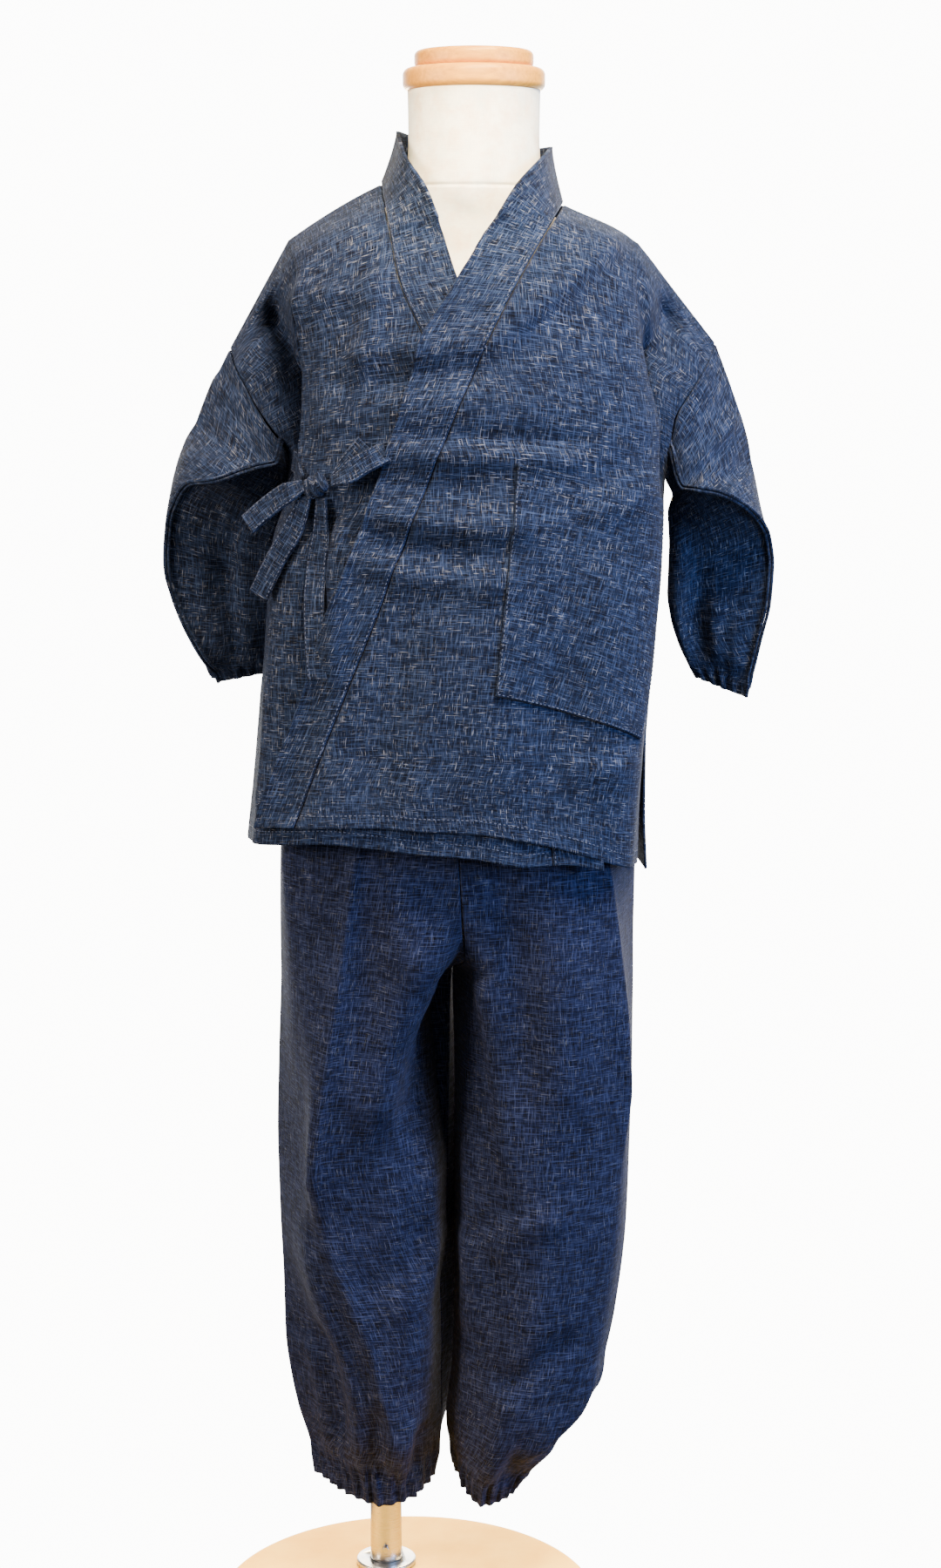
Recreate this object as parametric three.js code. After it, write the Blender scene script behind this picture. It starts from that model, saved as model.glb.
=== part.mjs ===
// A child's samue (cross-over jacket and elastic-cuffed trousers) worn by a limbless dress form
// on a pole and a round base plate. Millimetres, +Z up, origin at the centre of the underside of
// the base plate. The form faces -Y, so the wearer's left is at +X.
import * as THREE from 'three';

// ---- driving dimensions -------------------------------------------------------------------
const CLOTH = 1.5;              // thickness of one layer of slub cotton
const BAND = 2.4;               // thickness of the folded double collar band
const SEAM_GAP = 0.3;           // gap between two pieces along a seam
const LAP_LIFT = 4.0;           // how far the overlapping front stands off the front under it
const BODY_X = 50;              // centre line of the leaning jacket
const COLLAR_RISE = 0.9;        // the collar band stands this much proud of the fronts
const LAP_FULL = { x: 135, over: 70 };  // the lap lifts off towards -X from x, within this width
const PLATE = { radius: 150, thick: 17, edge: 6 };
const POLE = { x: -18.5, y: 58, radius: 12.7 };
const NECK = { x: 52.5, y: 12, radius: 48.5, top: 1178 };
const CAP_LOWER = { radius: 52, thick: 16, edge: 5 };
const CAP_UPPER = { radius: 43.5, thick: 12.5, edge: 4 };
const STRAP = { width: 17, thick: 1.6 };
const SLEEVE_GATHERS = 18;
const TROUSER_GATHERS = 30;
const GATHER_DEPTH = 1.6;

// ---- section tables -----------------------------------------------------------------------
// Each row is one section; sections run from the shoulder ridge (first) to the hem (last).
function table(columns, rows) {
  return rows.map((row) => Object.fromEntries(columns.map((name, i) => [name, row[i]])));
}

// Half fronts: the centre line, the drape fold below the shoulder, and the outer edge, which is
// the armhole seam down to the armpit (row 5) and the side seam below it. "dent" is how far the
// cloth tucks in behind the fold.
const FRONT_COLUMNS = ['cy', 'cz', 'fx', 'fy', 'fz', 'ex', 'ey', 'ez', 'dent'];
const FRONT_RIGHT = table(FRONT_COLUMNS, [
  [40, 1132, -86, 40, 1072, -131, 42, 992, 0],
  [-16, 1104, -80, 6, 1058, -127, 28, 981, 2],
  [-45, 1072, -75, -10, 1038, -119, 14, 967, 8],
  [-68, 1030, -72, -19, 1005, -109, 6, 950, 14],
  [-80, 990, -71, -24, 970, -97, 1, 933, 14],
  [-87, 950, -71, -27, 936, -84, 8, 913, 3],
  [-91, 890, -79, -26, 884, -88, 12, 884, 0],
  [-92, 845, -92, -24, 842, -99, 16, 845, 0],
  [-93, 795, -98, -26, 790, -104, 20, 792, 0],
  [-94, 745, -101, -30, 740, -108, 22, 742, 0],
  [-94, 705, -104, -34, 696, -112, 22, 697, 0],
  [-95, 670, -108, -38, 660, -116, 20, 660, 0],
  [-95, 646, -112, -42, 632, -120, 14, 624, 0],
]);
const FRONT_LEFT = table(FRONT_COLUMNS, [
  [40, 1115, 175, 40, 1070, 234, 42, 996, 0],
  [-16, 1098, 172, 6, 1057, 229, 28, 984, 2],
  [-45, 1070, 171, -8, 1036, 221, 13, 972, 8],
  [-68, 1030, 174, -15, 1005, 211, 4, 957, 14],
  [-80, 990, 179, -19, 974, 201, 0, 940, 12],
  [-87, 950, 187, -22, 930, 195, 7, 896, 3],
  [-91, 890, 189, -24, 880, 194, 12, 872, 0],
  [-92, 845, 188, -24, 836, 193, 17, 838, 0],
  [-93, 795, 184, -26, 784, 190, 20, 788, 0],
  [-94, 745, 180, -28, 734, 186, 21, 740, 0],
  [-94, 705, 177, -30, 692, 182, 20, 697, 0],
  [-95, 670, 174, -30, 648, 179, 16, 655, 0],
  [-95, 646, 172, -25, 610, 177, 6, 606, 0],
]);
// Half backs share the side seams of the fronts from row 5 down.
const BACK_RIGHT = table(FRONT_COLUMNS, [
  [40, 1132, -86, 40, 1072, -131, 42, 992, 0],
  [74, 1110, -81, 62, 1058, -128, 60, 981, 2],
  [95, 1085, -75, 80, 1036, -121, 72, 966, 8],
  [108, 1030, -72, 88, 1002, -111, 74, 949, 12],
  [114, 985, -72, 92, 968, -99, 64, 932, 12],
  [117, 945, -75, 92, 934, -84, 8, 913, 3],
  [119, 890, -80, 92, 884, -88, 12, 884, 0],
  [120, 845, -88, 92, 842, -99, 16, 845, 0],
  [121, 795, -93, 92, 790, -104, 20, 792, 0],
  [122, 745, -97, 92, 740, -108, 22, 742, 0],
  [123, 705, -101, 92, 696, -112, 22, 697, 0],
  [124, 670, -106, 92, 660, -117, 22, 660, 0],
  [125, 640, -110, 92, 630, -121, 20, 624, 0],
]);
const BACK_LEFT = table(FRONT_COLUMNS, [
  [40, 1115, 175, 40, 1070, 234, 42, 996, 0],
  [74, 1110, 172, 62, 1056, 230, 60, 984, 2],
  [95, 1085, 170, 80, 1034, 223, 72, 971, 8],
  [108, 1030, 172, 88, 1003, 213, 74, 956, 12],
  [114, 985, 176, 92, 972, 203, 64, 939, 12],
  [117, 945, 181, 92, 930, 195, 7, 896, 3],
  [119, 890, 183, 92, 880, 194, 12, 872, 0],
  [120, 845, 183, 92, 836, 193, 17, 838, 0],
  [121, 795, 181, 92, 784, 190, 20, 788, 0],
  [122, 745, 179, 92, 734, 187, 22, 740, 0],
  [123, 705, 178, 92, 690, 184, 24, 695, 0],
  [124, 670, 178, 92, 646, 184, 26, 648, 0],
  [125, 640, 179, 92, 600, 186, 28, 597, 0],
]);

// Slanting edges of the crossed fronts: x of the line at each height.
const LINE_COLUMNS = ['z', 'seam', 'edge'];
const LAP_LINES = table(LINE_COLUMNS, [
  [1130, 134, 99], [1096, 118, 76], [1072, 103, 61], [1030, 79, 36], [1000, 64, 17],
  [967, 49, 7], [932, 34, -4], [887, 16, -19], [846, 0, -34], [806, -15, -48],
  [760, -33, -64], [690, -59, -87], [640, -76, -101],
]);
const UNDER_LINES = table(LINE_COLUMNS, [
  [1130, -20, 14], [1096, -13, 23], [1072, -8, 30], [1041, -1, 40], [1000, 17, 58],
  [950, 36, 76], [900, 53, 92], [850, 69, 107], [800, 84, 121], [740, 98, 134],
  [690, 106, 142], [620, 112, 148],
]);
// How far each hem is drawn up (+) or hangs down (-) against the level curves, by x.
const HEM_SHIFT = table(['x', 'lap', 'under'], [
  [-125, 12, 0], [-90, 12, -1], [-60, 10, -2], [-20, 8, -8], [20, 3, -15], [82, 0, -20],
  [130, 1, -8], [180, 0, -4],
]);
// Free edge of the collar beside the neck, from the ridge (v = 0) down to where it lies flat.
const NECK_EDGE_COLUMNS = ['v', 'x', 'y', 'z'];
const LAP_NECK_EDGE = table(NECK_EDGE_COLUMNS, [
  [0, 108, 24, 1138], [0.5, 100, -17, 1128], [1, 83, -39, 1109], [1.5, 70, -46, 1088],
]);
const UNDER_NECK_EDGE = table(NECK_EDGE_COLUMNS, [
  [0, -2, 24, 1149], [0.5, 4, -17, 1130], [1, 19, -39, 1106], [1.5, 26, -45, 1088],
]);

// Sleeves, from the armhole to the cuff: outer fold, welt seam, inner side and back.
const SLEEVE_COLUMNS = ['ox', 'oy', 'oz', 'wx', 'wy', 'wz', 'ix', 'iy', 'iz', 'bx', 'by', 'bz'];
const SLEEVE_RIGHT = table(SLEEVE_COLUMNS, [
  [-142, 45, 971, -98, -8, 909, -92, 15, 901, -122, 90, 939],
  [-154, 43, 947, -110, -16, 907, -92, 20, 891, -129, 94, 921],
  [-166, 41, 923, -136, -19, 899, -98, 24, 877, -137, 96, 903],
  [-175, 40, 896, -160, -8, 895, -104, 27, 860, -142, 98, 880],
  [-181, 44, 862, -179, 22, 863, -109, 30, 840, -146, 100, 852],
  [-184, 50, 831, -182, 29, 830, -110, 36, 818, -148, 104, 826],
  [-179, 55, 802, -175, 33, 800, -111, 42, 795, -147, 106, 799],
  [-165, 62, 769, -161, 41, 768, -113, 50, 770, -140, 102, 770],
  [-153, 67, 751, -150, 49, 749, -114, 58, 753, -133, 92, 752],
  [-150, 68, 742, -146, 52, 739, -114, 62, 746, -131, 90, 743],
]);
const SLEEVE_LEFT = table(SLEEVE_COLUMNS, [
  [248, 45, 960, 208, -8, 891, 201, 16, 883, 227, 90, 928],
  [259, 43, 927, 221, -17, 890, 198, 20, 872, 233, 94, 905],
  [265, 41, 898, 241, -18, 885, 199, 24, 858, 239, 96, 880],
  [272, 43, 866, 261, -6, 871, 200, 28, 842, 244, 98, 856],
  [276, 47, 847, 273, 19, 853, 200, 31, 826, 246, 100, 840],
  [279, 51, 829, 277, 29, 829, 200, 34, 810, 247, 104, 820],
  [278, 55, 806, 276, 35, 803, 203, 38, 790, 247, 106, 799],
  [273, 60, 777, 270, 42, 772, 210, 46, 768, 246, 104, 773],
  [268, 65, 750, 265, 51, 744, 218, 54, 752, 244, 94, 750],
  [265, 67, 733, 262, 55, 727, 226, 60, 741, 244, 92, 734],
]);

// Trouser sections from the waist down. Fronts: side seam, outer fold, pressed crease, inner
// corner and seam (centre seam above the crotch, inside-leg seam below). Backs: seam, inner
// corner, back crease, outer fold, side seam.
const LEG_FRONT_COLUMNS = ['z', 'sx', 'sy', 'fx', 'fy', 'cx', 'cy', 'gx', 'gy', 'mx', 'my'];
const TROUSER_FRONT_RIGHT = table(LEG_FRONT_COLUMNS, [
  [697.5, -59, 24, -42, -20, -11, -42, 17, -50, 36, -52],
  [655, -86, 36, -76, -22, -27, -58, 10, -70, 40, -72],
  [610, -97, 42, -92, -14, -34, -63, 8, -72, 42, -74],
  [545, -98, 44, -88, -12, -44, -61, 6, -64, 45, -52],
  [515, -98, 46, -86, -13, -48, -60, 10, -52, 35, 24],
  [445, -101, 52, -80, -15, -60, -55, 22, -18, 33, 30],
  [380, -103, 58, -76, -14, -68, -48, 24, -12, 32, 34],
  [318, -102, 60, -75, -12, -58, -34, 22, -10, 31, 36],
  [260, -100, 62, -58, -14, -34, -34, 16, -6, 26, 38],
  [212, -99, 62, -41, -10, -20, -30, 16, -2, 27, 42],
  [150, -90, 62, -33, -2, -10, -20, 12, 8, 24, 46],
  [112, -79, 58, -42, 14, -16, 2, 10, 18, 24, 46],
  [88, -75, 54, -46, 20, -19, 6, 8, 16, 22, 46],
]);
const TROUSER_BACK_RIGHT = table(LEG_FRONT_COLUMNS, [
  [697.5, -59, 24, -42, 66, -11, 88, 17, 96, 36, 98],
  [655, -86, 36, -72, 96, -27, 112, 10, 116, 40, 116],
  [610, -97, 42, -84, 100, -34, 116, 8, 118, 42, 118],
  [545, -98, 44, -84, 98, -36, 116, 14, 112, 44, 100],
  [515, -98, 46, -84, 98, -36, 116, 39, 97, 35, 24],
  [445, -101, 52, -88, 98, -36, 116, 43, 88, 33, 30],
  [380, -103, 58, -90, 98, -36, 116, 45, 84, 32, 34],
  [318, -102, 60, -90, 98, -36, 115, 45, 84, 31, 36],
  [260, -100, 62, -88, 98, -36, 113, 43, 84, 26, 38],
  [212, -99, 62, -86, 96, -36, 110, 41, 84, 27, 42],
  [150, -90, 62, -76, 92, -32, 104, 32, 80, 24, 46],
  [112, -79, 58, -62, 82, -28, 91, 18, 74, 24, 46],
  [95, -75, 54, -58, 78, -27, 87, 12, 70, 22, 46],
]);
const TROUSER_FRONT_LEFT = table(LEG_FRONT_COLUMNS, [
  [697.5, 133, 24, 116, -20, 85, -42, 57, -50, 36.4, -52],
  [655, 166, 32, 152, -30, 98, -62, 70, -68, 40.4, -70],
  [610, 177, 32, 149, -48, 104, -66, 76, -72, 42.4, -74],
  [545, 176, 30, 155, -42, 104, -64, 74, -64, 45.4, -52],
  [515, 176, 28, 158, -40, 104, -62, 60, -52, 35.4, 24],
  [445, 175, 24, 169, -20, 106, -54, 46, -14, 37, 30],
  [380, 174, 22, 166, -18, 106, -50, 44, -8, 37, 34],
  [318, 172, 22, 162, -16, 106, -46, 44, -4, 37, 36],
  [260, 166, 22, 154, -14, 102, -44, 44, -2, 37, 38],
  [212, 157, 22, 144, -14, 96, -40, 42, 2, 36, 38],
  [150, 130, 24, 116, -12, 80, -30, 40, 8, 33, 40],
  [112, 102, 34, 88, 4, 62, -12, 42, 12, 35, 40],
  [93, 93, 38, 80, 8, 60, -6, 44, 12, 37, 40],
]);
const TROUSER_BACK_LEFT = table(LEG_FRONT_COLUMNS, [
  [697.5, 133, 24, 116, 66, 85, 88, 57, 96, 36.4, 98],
  [655, 168, 32, 152, 92, 98, 112, 70, 116, 40.4, 116],
  [610, 177, 32, 164, 92, 104, 116, 76, 118, 42.4, 118],
  [545, 176, 30, 164, 92, 104, 116, 74, 112, 44.4, 100],
  [515, 176, 28, 164, 92, 104, 116, 60, 102, 35.4, 24],
  [445, 175, 24, 162, 92, 104, 116, 50, 88, 37, 30],
  [380, 174, 22, 160, 92, 104, 116, 50, 84, 37, 34],
  [318, 172, 22, 158, 92, 104, 115, 48, 84, 37, 36],
  [260, 166, 22, 152, 90, 102, 113, 48, 84, 37, 38],
  [212, 157, 22, 144, 88, 96, 110, 46, 84, 36, 38],
  [150, 130, 24, 120, 84, 82, 102, 42, 80, 33, 40],
  [112, 102, 34, 92, 74, 66, 84, 44, 72, 35, 40],
  [93, 93, 38, 84, 70, 64, 80, 46, 68, 37, 40],
]);

// Dress form torso: centre, half width and half depth of each level section, and the slope of
// the section towards the lower shoulder.
const TORSO = table(['z', 'x', 'y', 'halfX', 'halfY', 'slope'], [
  [560, 34, 24, 88, 60, 0], [566, 34, 24, 96, 68, 0], [600, 34, 24, 101, 76, 0],
  [640, 35, 24, 101, 77, 0], [690, 37, 23, 90, 68, 0], [730, 39, 22, 86, 66, 0],
  [790, 41, 22, 90, 70, 0], [860, 43, 22, 97, 76, 0], [930, 45, 22, 101, 80, 0],
  [985, 47, 24, 106, 76, 0], [1022, 48, 27, 112, 66, 0], [1045, 49, 29, 115, 58, 0],
  [1060, 50, 29, 106, 54, -0.02], [1074, 50.5, 26, 86.5, 51, -0.06], [1088, 51, 22, 66.3, 49, -0.08],
  [1100, 52, 17, 55, 48.5, -0.05], [1114, 52.5, 13, 50, 48, 0], [1145, 52.5, 12, 48, 48, 0],
  [1178, 52.5, 12, 48.5, 48.5, 0],
]);

// Ties: centre lines of the straps' outer faces. "laid" points are x, z and the height off the
// front; "free" points are x, y, z. "bunched" is the end (0 or 1) that goes into the knot.
const TIES = {
  tie_strap_lap: { facing: [0.25, -0.8, 0.55], bunched: 1, free: [
    [-9.6, -90, 921], [-24, -92, 914], [-37, -90, 906], [-50, -82, 899.5]] },
  tie_strap_side: { facing: [-0.95, -0.3, 0.15], bunched: 1, free: [
    [-82, -3, 911], [-77.6, -25, 909.5], [-76.2, -43, 904], [-72.4, -57, 898.5]] },
  tie_loop_right: { bunched: 0, laid: [
    [-46.5, 900, 2.4], [-38, 909, 2.1], [-31, 917, 2.1], [-24, 925, 2.1]] },
  tie_loop_left: { facing: [-0.3, -0.9, 0.3], bunched: 0, free: [
    [-70.1, -70.4, 896], [-83, -67, 890], [-97, -60, 880], [-112, -56, 867]] },
  tie_tail_short: { facing: [-0.4, -0.9, 0.1], bunched: 0, free: [
    [-68.4, -69.4, 888.6], [-77.4, -66, 866], [-92, -60, 841], [-105, -53, 815]] },
  tie_tail_long: { bunched: 0, laid: [
    [-55, 886.4, 4.6], [-57, 862, 2.2], [-60, 838, 2.4], [-60, 812, 7], [-59, 785, 8.2], [-57, 757, 8.2]] },
};
const KNOT = { x: -61, y: -70.3, z: 895.5, halfX: 11, halfY: 5.5, halfZ: 8.5, turn: -0.66 };
const BUNCH = 0.55;             // share of the strap's width left where it enters the knot
const STRAP_STEPS = 3;          // sections between two centre points of a strap
const BUNCHED_SHARE = 1 / 3;    // share of the strap's length over which it narrows

// ---- interpolation ------------------------------------------------------------------------
// Monotone cubic through (xs, ys): smooth, and never past the values it joins.
function monotone(xs, ys) {
  const last = xs.length - 1;
  const slopes = xs.slice(1).map((x, i) => (ys[i + 1] - ys[i]) / (x - xs[i]));
  const tangents = xs.map((_, i) => {
    if (i === 0) return slopes[0];
    if (i === last) return slopes[last - 1];
    const [before, after] = [slopes[i - 1], slopes[i]];
    return before * after <= 0 ? 0 : (2 * before * after) / (before + after);
  });
  return (x) => {
    let i = 0;
    while (i < last - 1 && x > xs[i + 1]) i += 1;
    const span = xs[i + 1] - xs[i];
    const t = (x - xs[i]) / span;
    const [t2, t3] = [t * t, t * t * t];
    return (2 * t3 - 3 * t2 + 1) * ys[i] + (t3 - 2 * t2 + t) * span * tangents[i]
      + (3 * t2 - 2 * t3) * ys[i + 1] + (t3 - t2) * span * tangents[i + 1];
  };
}

// A table as a function of one column (or of the row number): at(t) gives every column.
function smoothTable(rows, key) {
  const xs = rows.map((row, i) => (key ? row[key] : i));
  const order = xs[0] < xs[xs.length - 1] ? 1 : -1;
  const names = Object.keys(rows[0]).filter((name) => name !== key);
  const curves = names.map((name) => monotone(xs.map((x) => order * x), rows.map((row) => row[name])));
  return (t) => Object.fromEntries(names.map((name, i) => [name, curves[i](order * t)]));
}

// A smooth path through 3-D points; p(k) is exactly the k-th point.
function smoothPath(points) {
  const ks = points.map((_, i) => i);
  const [px, py, pz] = ['x', 'y', 'z'].map((axis) => monotone(ks, points.map((p) => p[axis])));
  return (k) => new THREE.Vector3(px(k), py(k), pz(k));
}

function bisect(f, low, high) {
  const rising = f(high) > f(low);
  for (let i = 0; i < 40; i += 1) {
    const middle = (low + high) / 2;
    if ((f(middle) > 0) === rising) high = middle;
    else low = middle;
  }
  return (low + high) / 2;
}

const lerp = (a, b, t) => a + (b - a) * t;
const steps = (count) => Array.from({ length: count + 1 }, (_, i) => i / count);
const vec = (x, y, z) => new THREE.Vector3(x, y, z);

// ---- walls --------------------------------------------------------------------------------
// Rows of outer points (top row first, left to right as seen from outside) become triangles;
// rows may differ in length, so a gathered edge can carry more points than the cloth above it.
function stitch(rows, closed) {
  const starts = [];
  const points = [];
  rows.forEach((row) => {
    starts.push(points.length);
    points.push(...row);
  });
  const triangles = [];
  for (let r = 0; r < rows.length - 1; r += 1) {
    const [upper, lower] = [rows[r].length, rows[r + 1].length];
    const [countA, countB] = closed ? [upper, lower] : [upper - 1, lower - 1];
    const a = (i) => starts[r] + (i % upper);
    const b = (j) => starts[r + 1] + (j % lower);
    let [i, j] = [0, 0];
    while (i < countA || j < countB) {
      const upperNext = (i + 1) / countA;
      const lowerNext = (j + 1) / countB;
      const takeUpper = i < countA && (j >= countB || upperNext < lowerNext - 1e-9
        || (Math.abs(upperNext - lowerNext) < 1e-9 && (i + r) % 2 === 0));
      if (takeUpper) {
        triangles.push([a(i), b(j), a(i + 1)]);
        i += 1;
      } else {
        triangles.push([a(i), b(j), b(j + 1)]);
        j += 1;
      }
    }
  }
  return { points, triangles };
}

// A point may carry its own normal, which keeps the two rims of a seam parallel.
function vertexNormals({ points, triangles }) {
  const normals = points.map(() => vec(0, 0, 0));
  triangles.forEach(([a, b, c]) => {
    const ab = points[b].clone().sub(points[a]);
    const ac = points[c].clone().sub(points[a]);
    const normal = ab.cross(ac);
    [a, b, c].forEach((k) => normals[k].add(normal));
  });
  return normals.map((n, k) => (points[k].normal ?? n.normalize()));
}

// A closed wall: the outer sheet, its copy moved in by the thickness, and rims on open edges.
function wall(rows, thickness, closed = false) {
  const sheet = stitch(rows, closed);
  const { points, triangles } = sheet;
  const normals = vertexNormals(sheet);
  const count = points.length;
  const inner = points.map((p, k) => p.clone().addScaledVector(normals[k], -thickness));
  const faces = [...triangles, ...triangles.map(([a, b, c]) => [a + count, c + count, b + count])];
  const edges = new Set();
  triangles.forEach(([a, b, c]) => [[a, b], [b, c], [c, a]].forEach((e) => edges.add(e.join())));
  edges.forEach((edge) => {
    const [a, b] = edge.split(',').map(Number);
    if (edges.has([b, a].join())) return;
    faces.push([b, a, a + count], [b, a + count, b + count]);
  });
  const geometry = new THREE.BufferGeometry();
  const positions = [...points, ...inner].flatMap((p) => [p.x, p.y, p.z]);
  geometry.setAttribute('position', new THREE.Float32BufferAttribute(positions, 3));
  geometry.setIndex(faces.flat());
  geometry.computeVertexNormals();
  return geometry;
}

// ---- jacket body surface ------------------------------------------------------------------
// A level curve of a half body: w = 0 at the centre line, 1 at the drape fold, 2 in the tuck
// behind it and 3 at the armhole or side seam.
const FRONT_SQUARENESS = 2.3;

function halfBody(rows) {
  const at = smoothTable(rows);
  return (w, v) => {
    const row = at(v);
    const inward = Math.sign(BODY_X - row.fx);
    const fold = vec(row.fx, row.fy, row.fz);
    const edge = vec(row.ex, row.ey, row.ez);
    const tuck = fold.clone().lerp(edge, 0.5);
    tuck.x += inward * row.dent;
    if (w > 1) return smoothPath([fold, tuck, edge])(w - 1);
    const s = Math.sin((w * Math.PI) / 2);
    const bulge = (1 - s ** FRONT_SQUARENESS) ** (1 / FRONT_SQUARENESS);
    return vec(lerp(BODY_X, row.fx, s), lerp(row.fy, row.cy, bulge), lerp(row.cz, row.fz, s ** 1.6));
  };
}

// Both halves as one surface: w runs from -3 (wearer's right seam) to 3 (wearer's left seam).
function bodySurface(rightRows, leftRows) {
  const right = halfBody(rightRows);
  const left = halfBody(leftRows);
  return (w, v) => (w < 0 ? right(-w, v) : left(w, v));
}
const frontSurface = bodySurface(FRONT_RIGHT, FRONT_LEFT);
const backSurface = bodySurface(BACK_RIGHT, BACK_LEFT);
const LAST = FRONT_RIGHT.length - 1;
const ARMPIT = 5;
const SEAM_W = 3;                // w of the armhole and side seam
const TINY = 0.01;               // rows and columns this close count as the same
const NORMAL_STEP = 0.02;        // w and v step used to work out a surface normal

// Outward normal of a surface whose w runs left to right as seen from outside.
function surfaceNormal(surface, w, v, flip) {
  const h = NORMAL_STEP;
  const [w0, w1] = [Math.max(w - h, -SEAM_W), Math.min(w + h, SEAM_W)];
  const [v0, v1] = [Math.max(v - h, 0), Math.min(v + h, LAST)];
  const across = surface(w1, v).sub(surface(w0, v));
  const down = surface(w, v1).sub(surface(w, v0));
  return down.cross(across).multiplyScalar(flip ? -1 : 1).normalize();
}

// Stand-off of the lapping front: nothing at its own side, full over the front below it.
const lapLift = (x) => LAP_LIFT * THREE.MathUtils.smoothstep(LAP_FULL.x - x, 0, LAP_FULL.over);
const lapLines = smoothTable(LAP_LINES, 'z');
const underLines = smoothTable(UNDER_LINES, 'z');
const hemShift = smoothTable(HEM_SHIFT, 'x');
const HEM_FROM = 8;             // the hems start to differ at this row

// A point of the front body: piece is 'lap' or 'under', offset is measured from its own face.
function frontPoint(w, v, piece, offset = 0) {
  const base = frontSurface(w, v);
  const under = piece === 'under' ? LAP_LIFT : 0;
  const normal = surfaceNormal(frontSurface, w, v);
  const p = base.clone().addScaledVector(normal, lapLift(base.x) - under + offset);
  p.z += hemShift(base.x)[piece] * THREE.MathUtils.smoothstep(v, HEM_FROM, LAST);
  p.normal = seamNormal(normal, w, v);
  return p;
}

// At the ridge and the side seam the rims stand square to Y, so that front and back meet.
function seamNormal(normal, w, v) {
  const onRidge = v < TINY;
  const onSide = Math.abs(w) > SEAM_W - TINY;
  if (onRidge || (onSide && v > ARMPIT - TINY)) return normal.clone().setY(0).normalize();
  return onSide ? normal : undefined;
}

// Where a slanting line crosses the level curve v.
function crossing(lines, name, v) {
  return bisect((w) => {
    const p = frontSurface(w, v);
    return p.x - lines(p.z)[name];
  }, -1, 1);
}

// Column positions from w = start out to the side seam, with counts between the key lines.
function columns(start, side, counts) {
  const stops = [start, side, 2 * side, 3 * side];
  return counts.flatMap((n, k) => steps(n).slice(k ? 1 : 0).map((t) => lerp(stops[k], stops[k + 1], t)));
}
const FRONT_STEPS = [9, 2, 3];
// Closer together over the shoulders, where the cloth turns most.
const BODY_LEVELS = [0, 0.35, 0.75, 1.2, 1.7, 2.3, 3, 3.7, 4.4, 5, 5.8, 6.7, 7.6, 8.5, 9.4, 10.3, 11.2, LAST];
const along = (point, from, distance) => {
  const moved = point.clone().add(point.clone().sub(from).setLength(distance));
  moved.normal = point.normal;
  return moved;
};

function frontPanel(piece, lines, side) {
  const rows = BODY_LEVELS.map((v) => {
    const start = crossing(lines, 'seam', v);
    const row = columns(start, side, FRONT_STEPS).map((w) => frontPoint(w, v, piece));
    return side > 0 ? row : row.reverse();
  });
  return wall(rows, CLOTH);
}

// ---- back ---------------------------------------------------------------------------------
// The back neckline dips below the ridge between the two collar seams.
const BACK_NECK_DIP = 1.2;
const neckRight = crossing(underLines, 'seam', 0);
const neckLeft = crossing(lapLines, 'seam', 0);
function neckline(w) {
  const share = w < 0 ? w / neckRight : w / neckLeft;
  return BACK_NECK_DIP * Math.max(0, 1 - share * share);
}

// Down to the vents the back meets the edges of the fronts.
const VENT_ROW = 9.4;
function backPoint(w, v) {
  const atSideSeam = Math.abs(w) > SEAM_W - TINY && v > ARMPIT - TINY && v < VENT_ROW;
  const p = atSideSeam ? frontSurface(w, v) : backSurface(w, v);
  p.y += SEAM_GAP;
  const normal = surfaceNormal(backSurface, w, v, true);
  p.normal = seamNormal(normal, w, v);
  return p;
}

const BACK_STEPS = [7, 2, 2];
function backPanel() {
  const ws = [...columns(0, 1, BACK_STEPS).reverse(), ...columns(0, -1, BACK_STEPS).slice(1)];
  const rows = BODY_LEVELS.map((v) => ws.map((w) => backPoint(w, lerp(neckline(w), LAST, v / LAST))));
  return wall(rows, CLOTH);
}

// ---- collar -------------------------------------------------------------------------------
// One folded band from the lapping hem, round the back of the neck, to the hem underneath.
const COLLAR_WIDTH = 40;
const COLLAR_LEAN = 14;
const COLLAR_ACROSS = 3;
const COLLAR_FOOT = 0.5;        // gap under the band behind the neck
const UPRIGHT_TO = 1.5;         // down to this row the collar stands up beside the neck
const FLAT_FROM = 2;            // from this row down the collar lies on the fronts

function collarOnFront(v, piece, lines, neckEdge) {
  const seamW = crossing(lines, 'seam', v);
  const edgeW = crossing(lines, 'edge', v);
  const seam = frontPoint(seamW, v, piece, COLLAR_RISE);
  const flatEdge = frontPoint(edgeW, v, piece, COLLAR_RISE);
  const upright = v < FLAT_FROM ? vec(...Object.values(neckEdge(v))) : flatEdge;
  const blend = THREE.MathUtils.smoothstep(v, UPRIGHT_TO, FLAT_FROM);
  const edge = upright.clone().lerp(flatEdge, blend);
  const start = along(seam, seam.clone().add(seam).sub(edge), SEAM_GAP);
  return steps(COLLAR_ACROSS).map((t) => {
    const onFlat = frontPoint(lerp(seamW, edgeW, t), v, piece, COLLAR_RISE);
    return start.clone().lerp(edge, t).lerp(onFlat, t > 0 && t < 1 ? blend : 0);
  });
}

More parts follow.
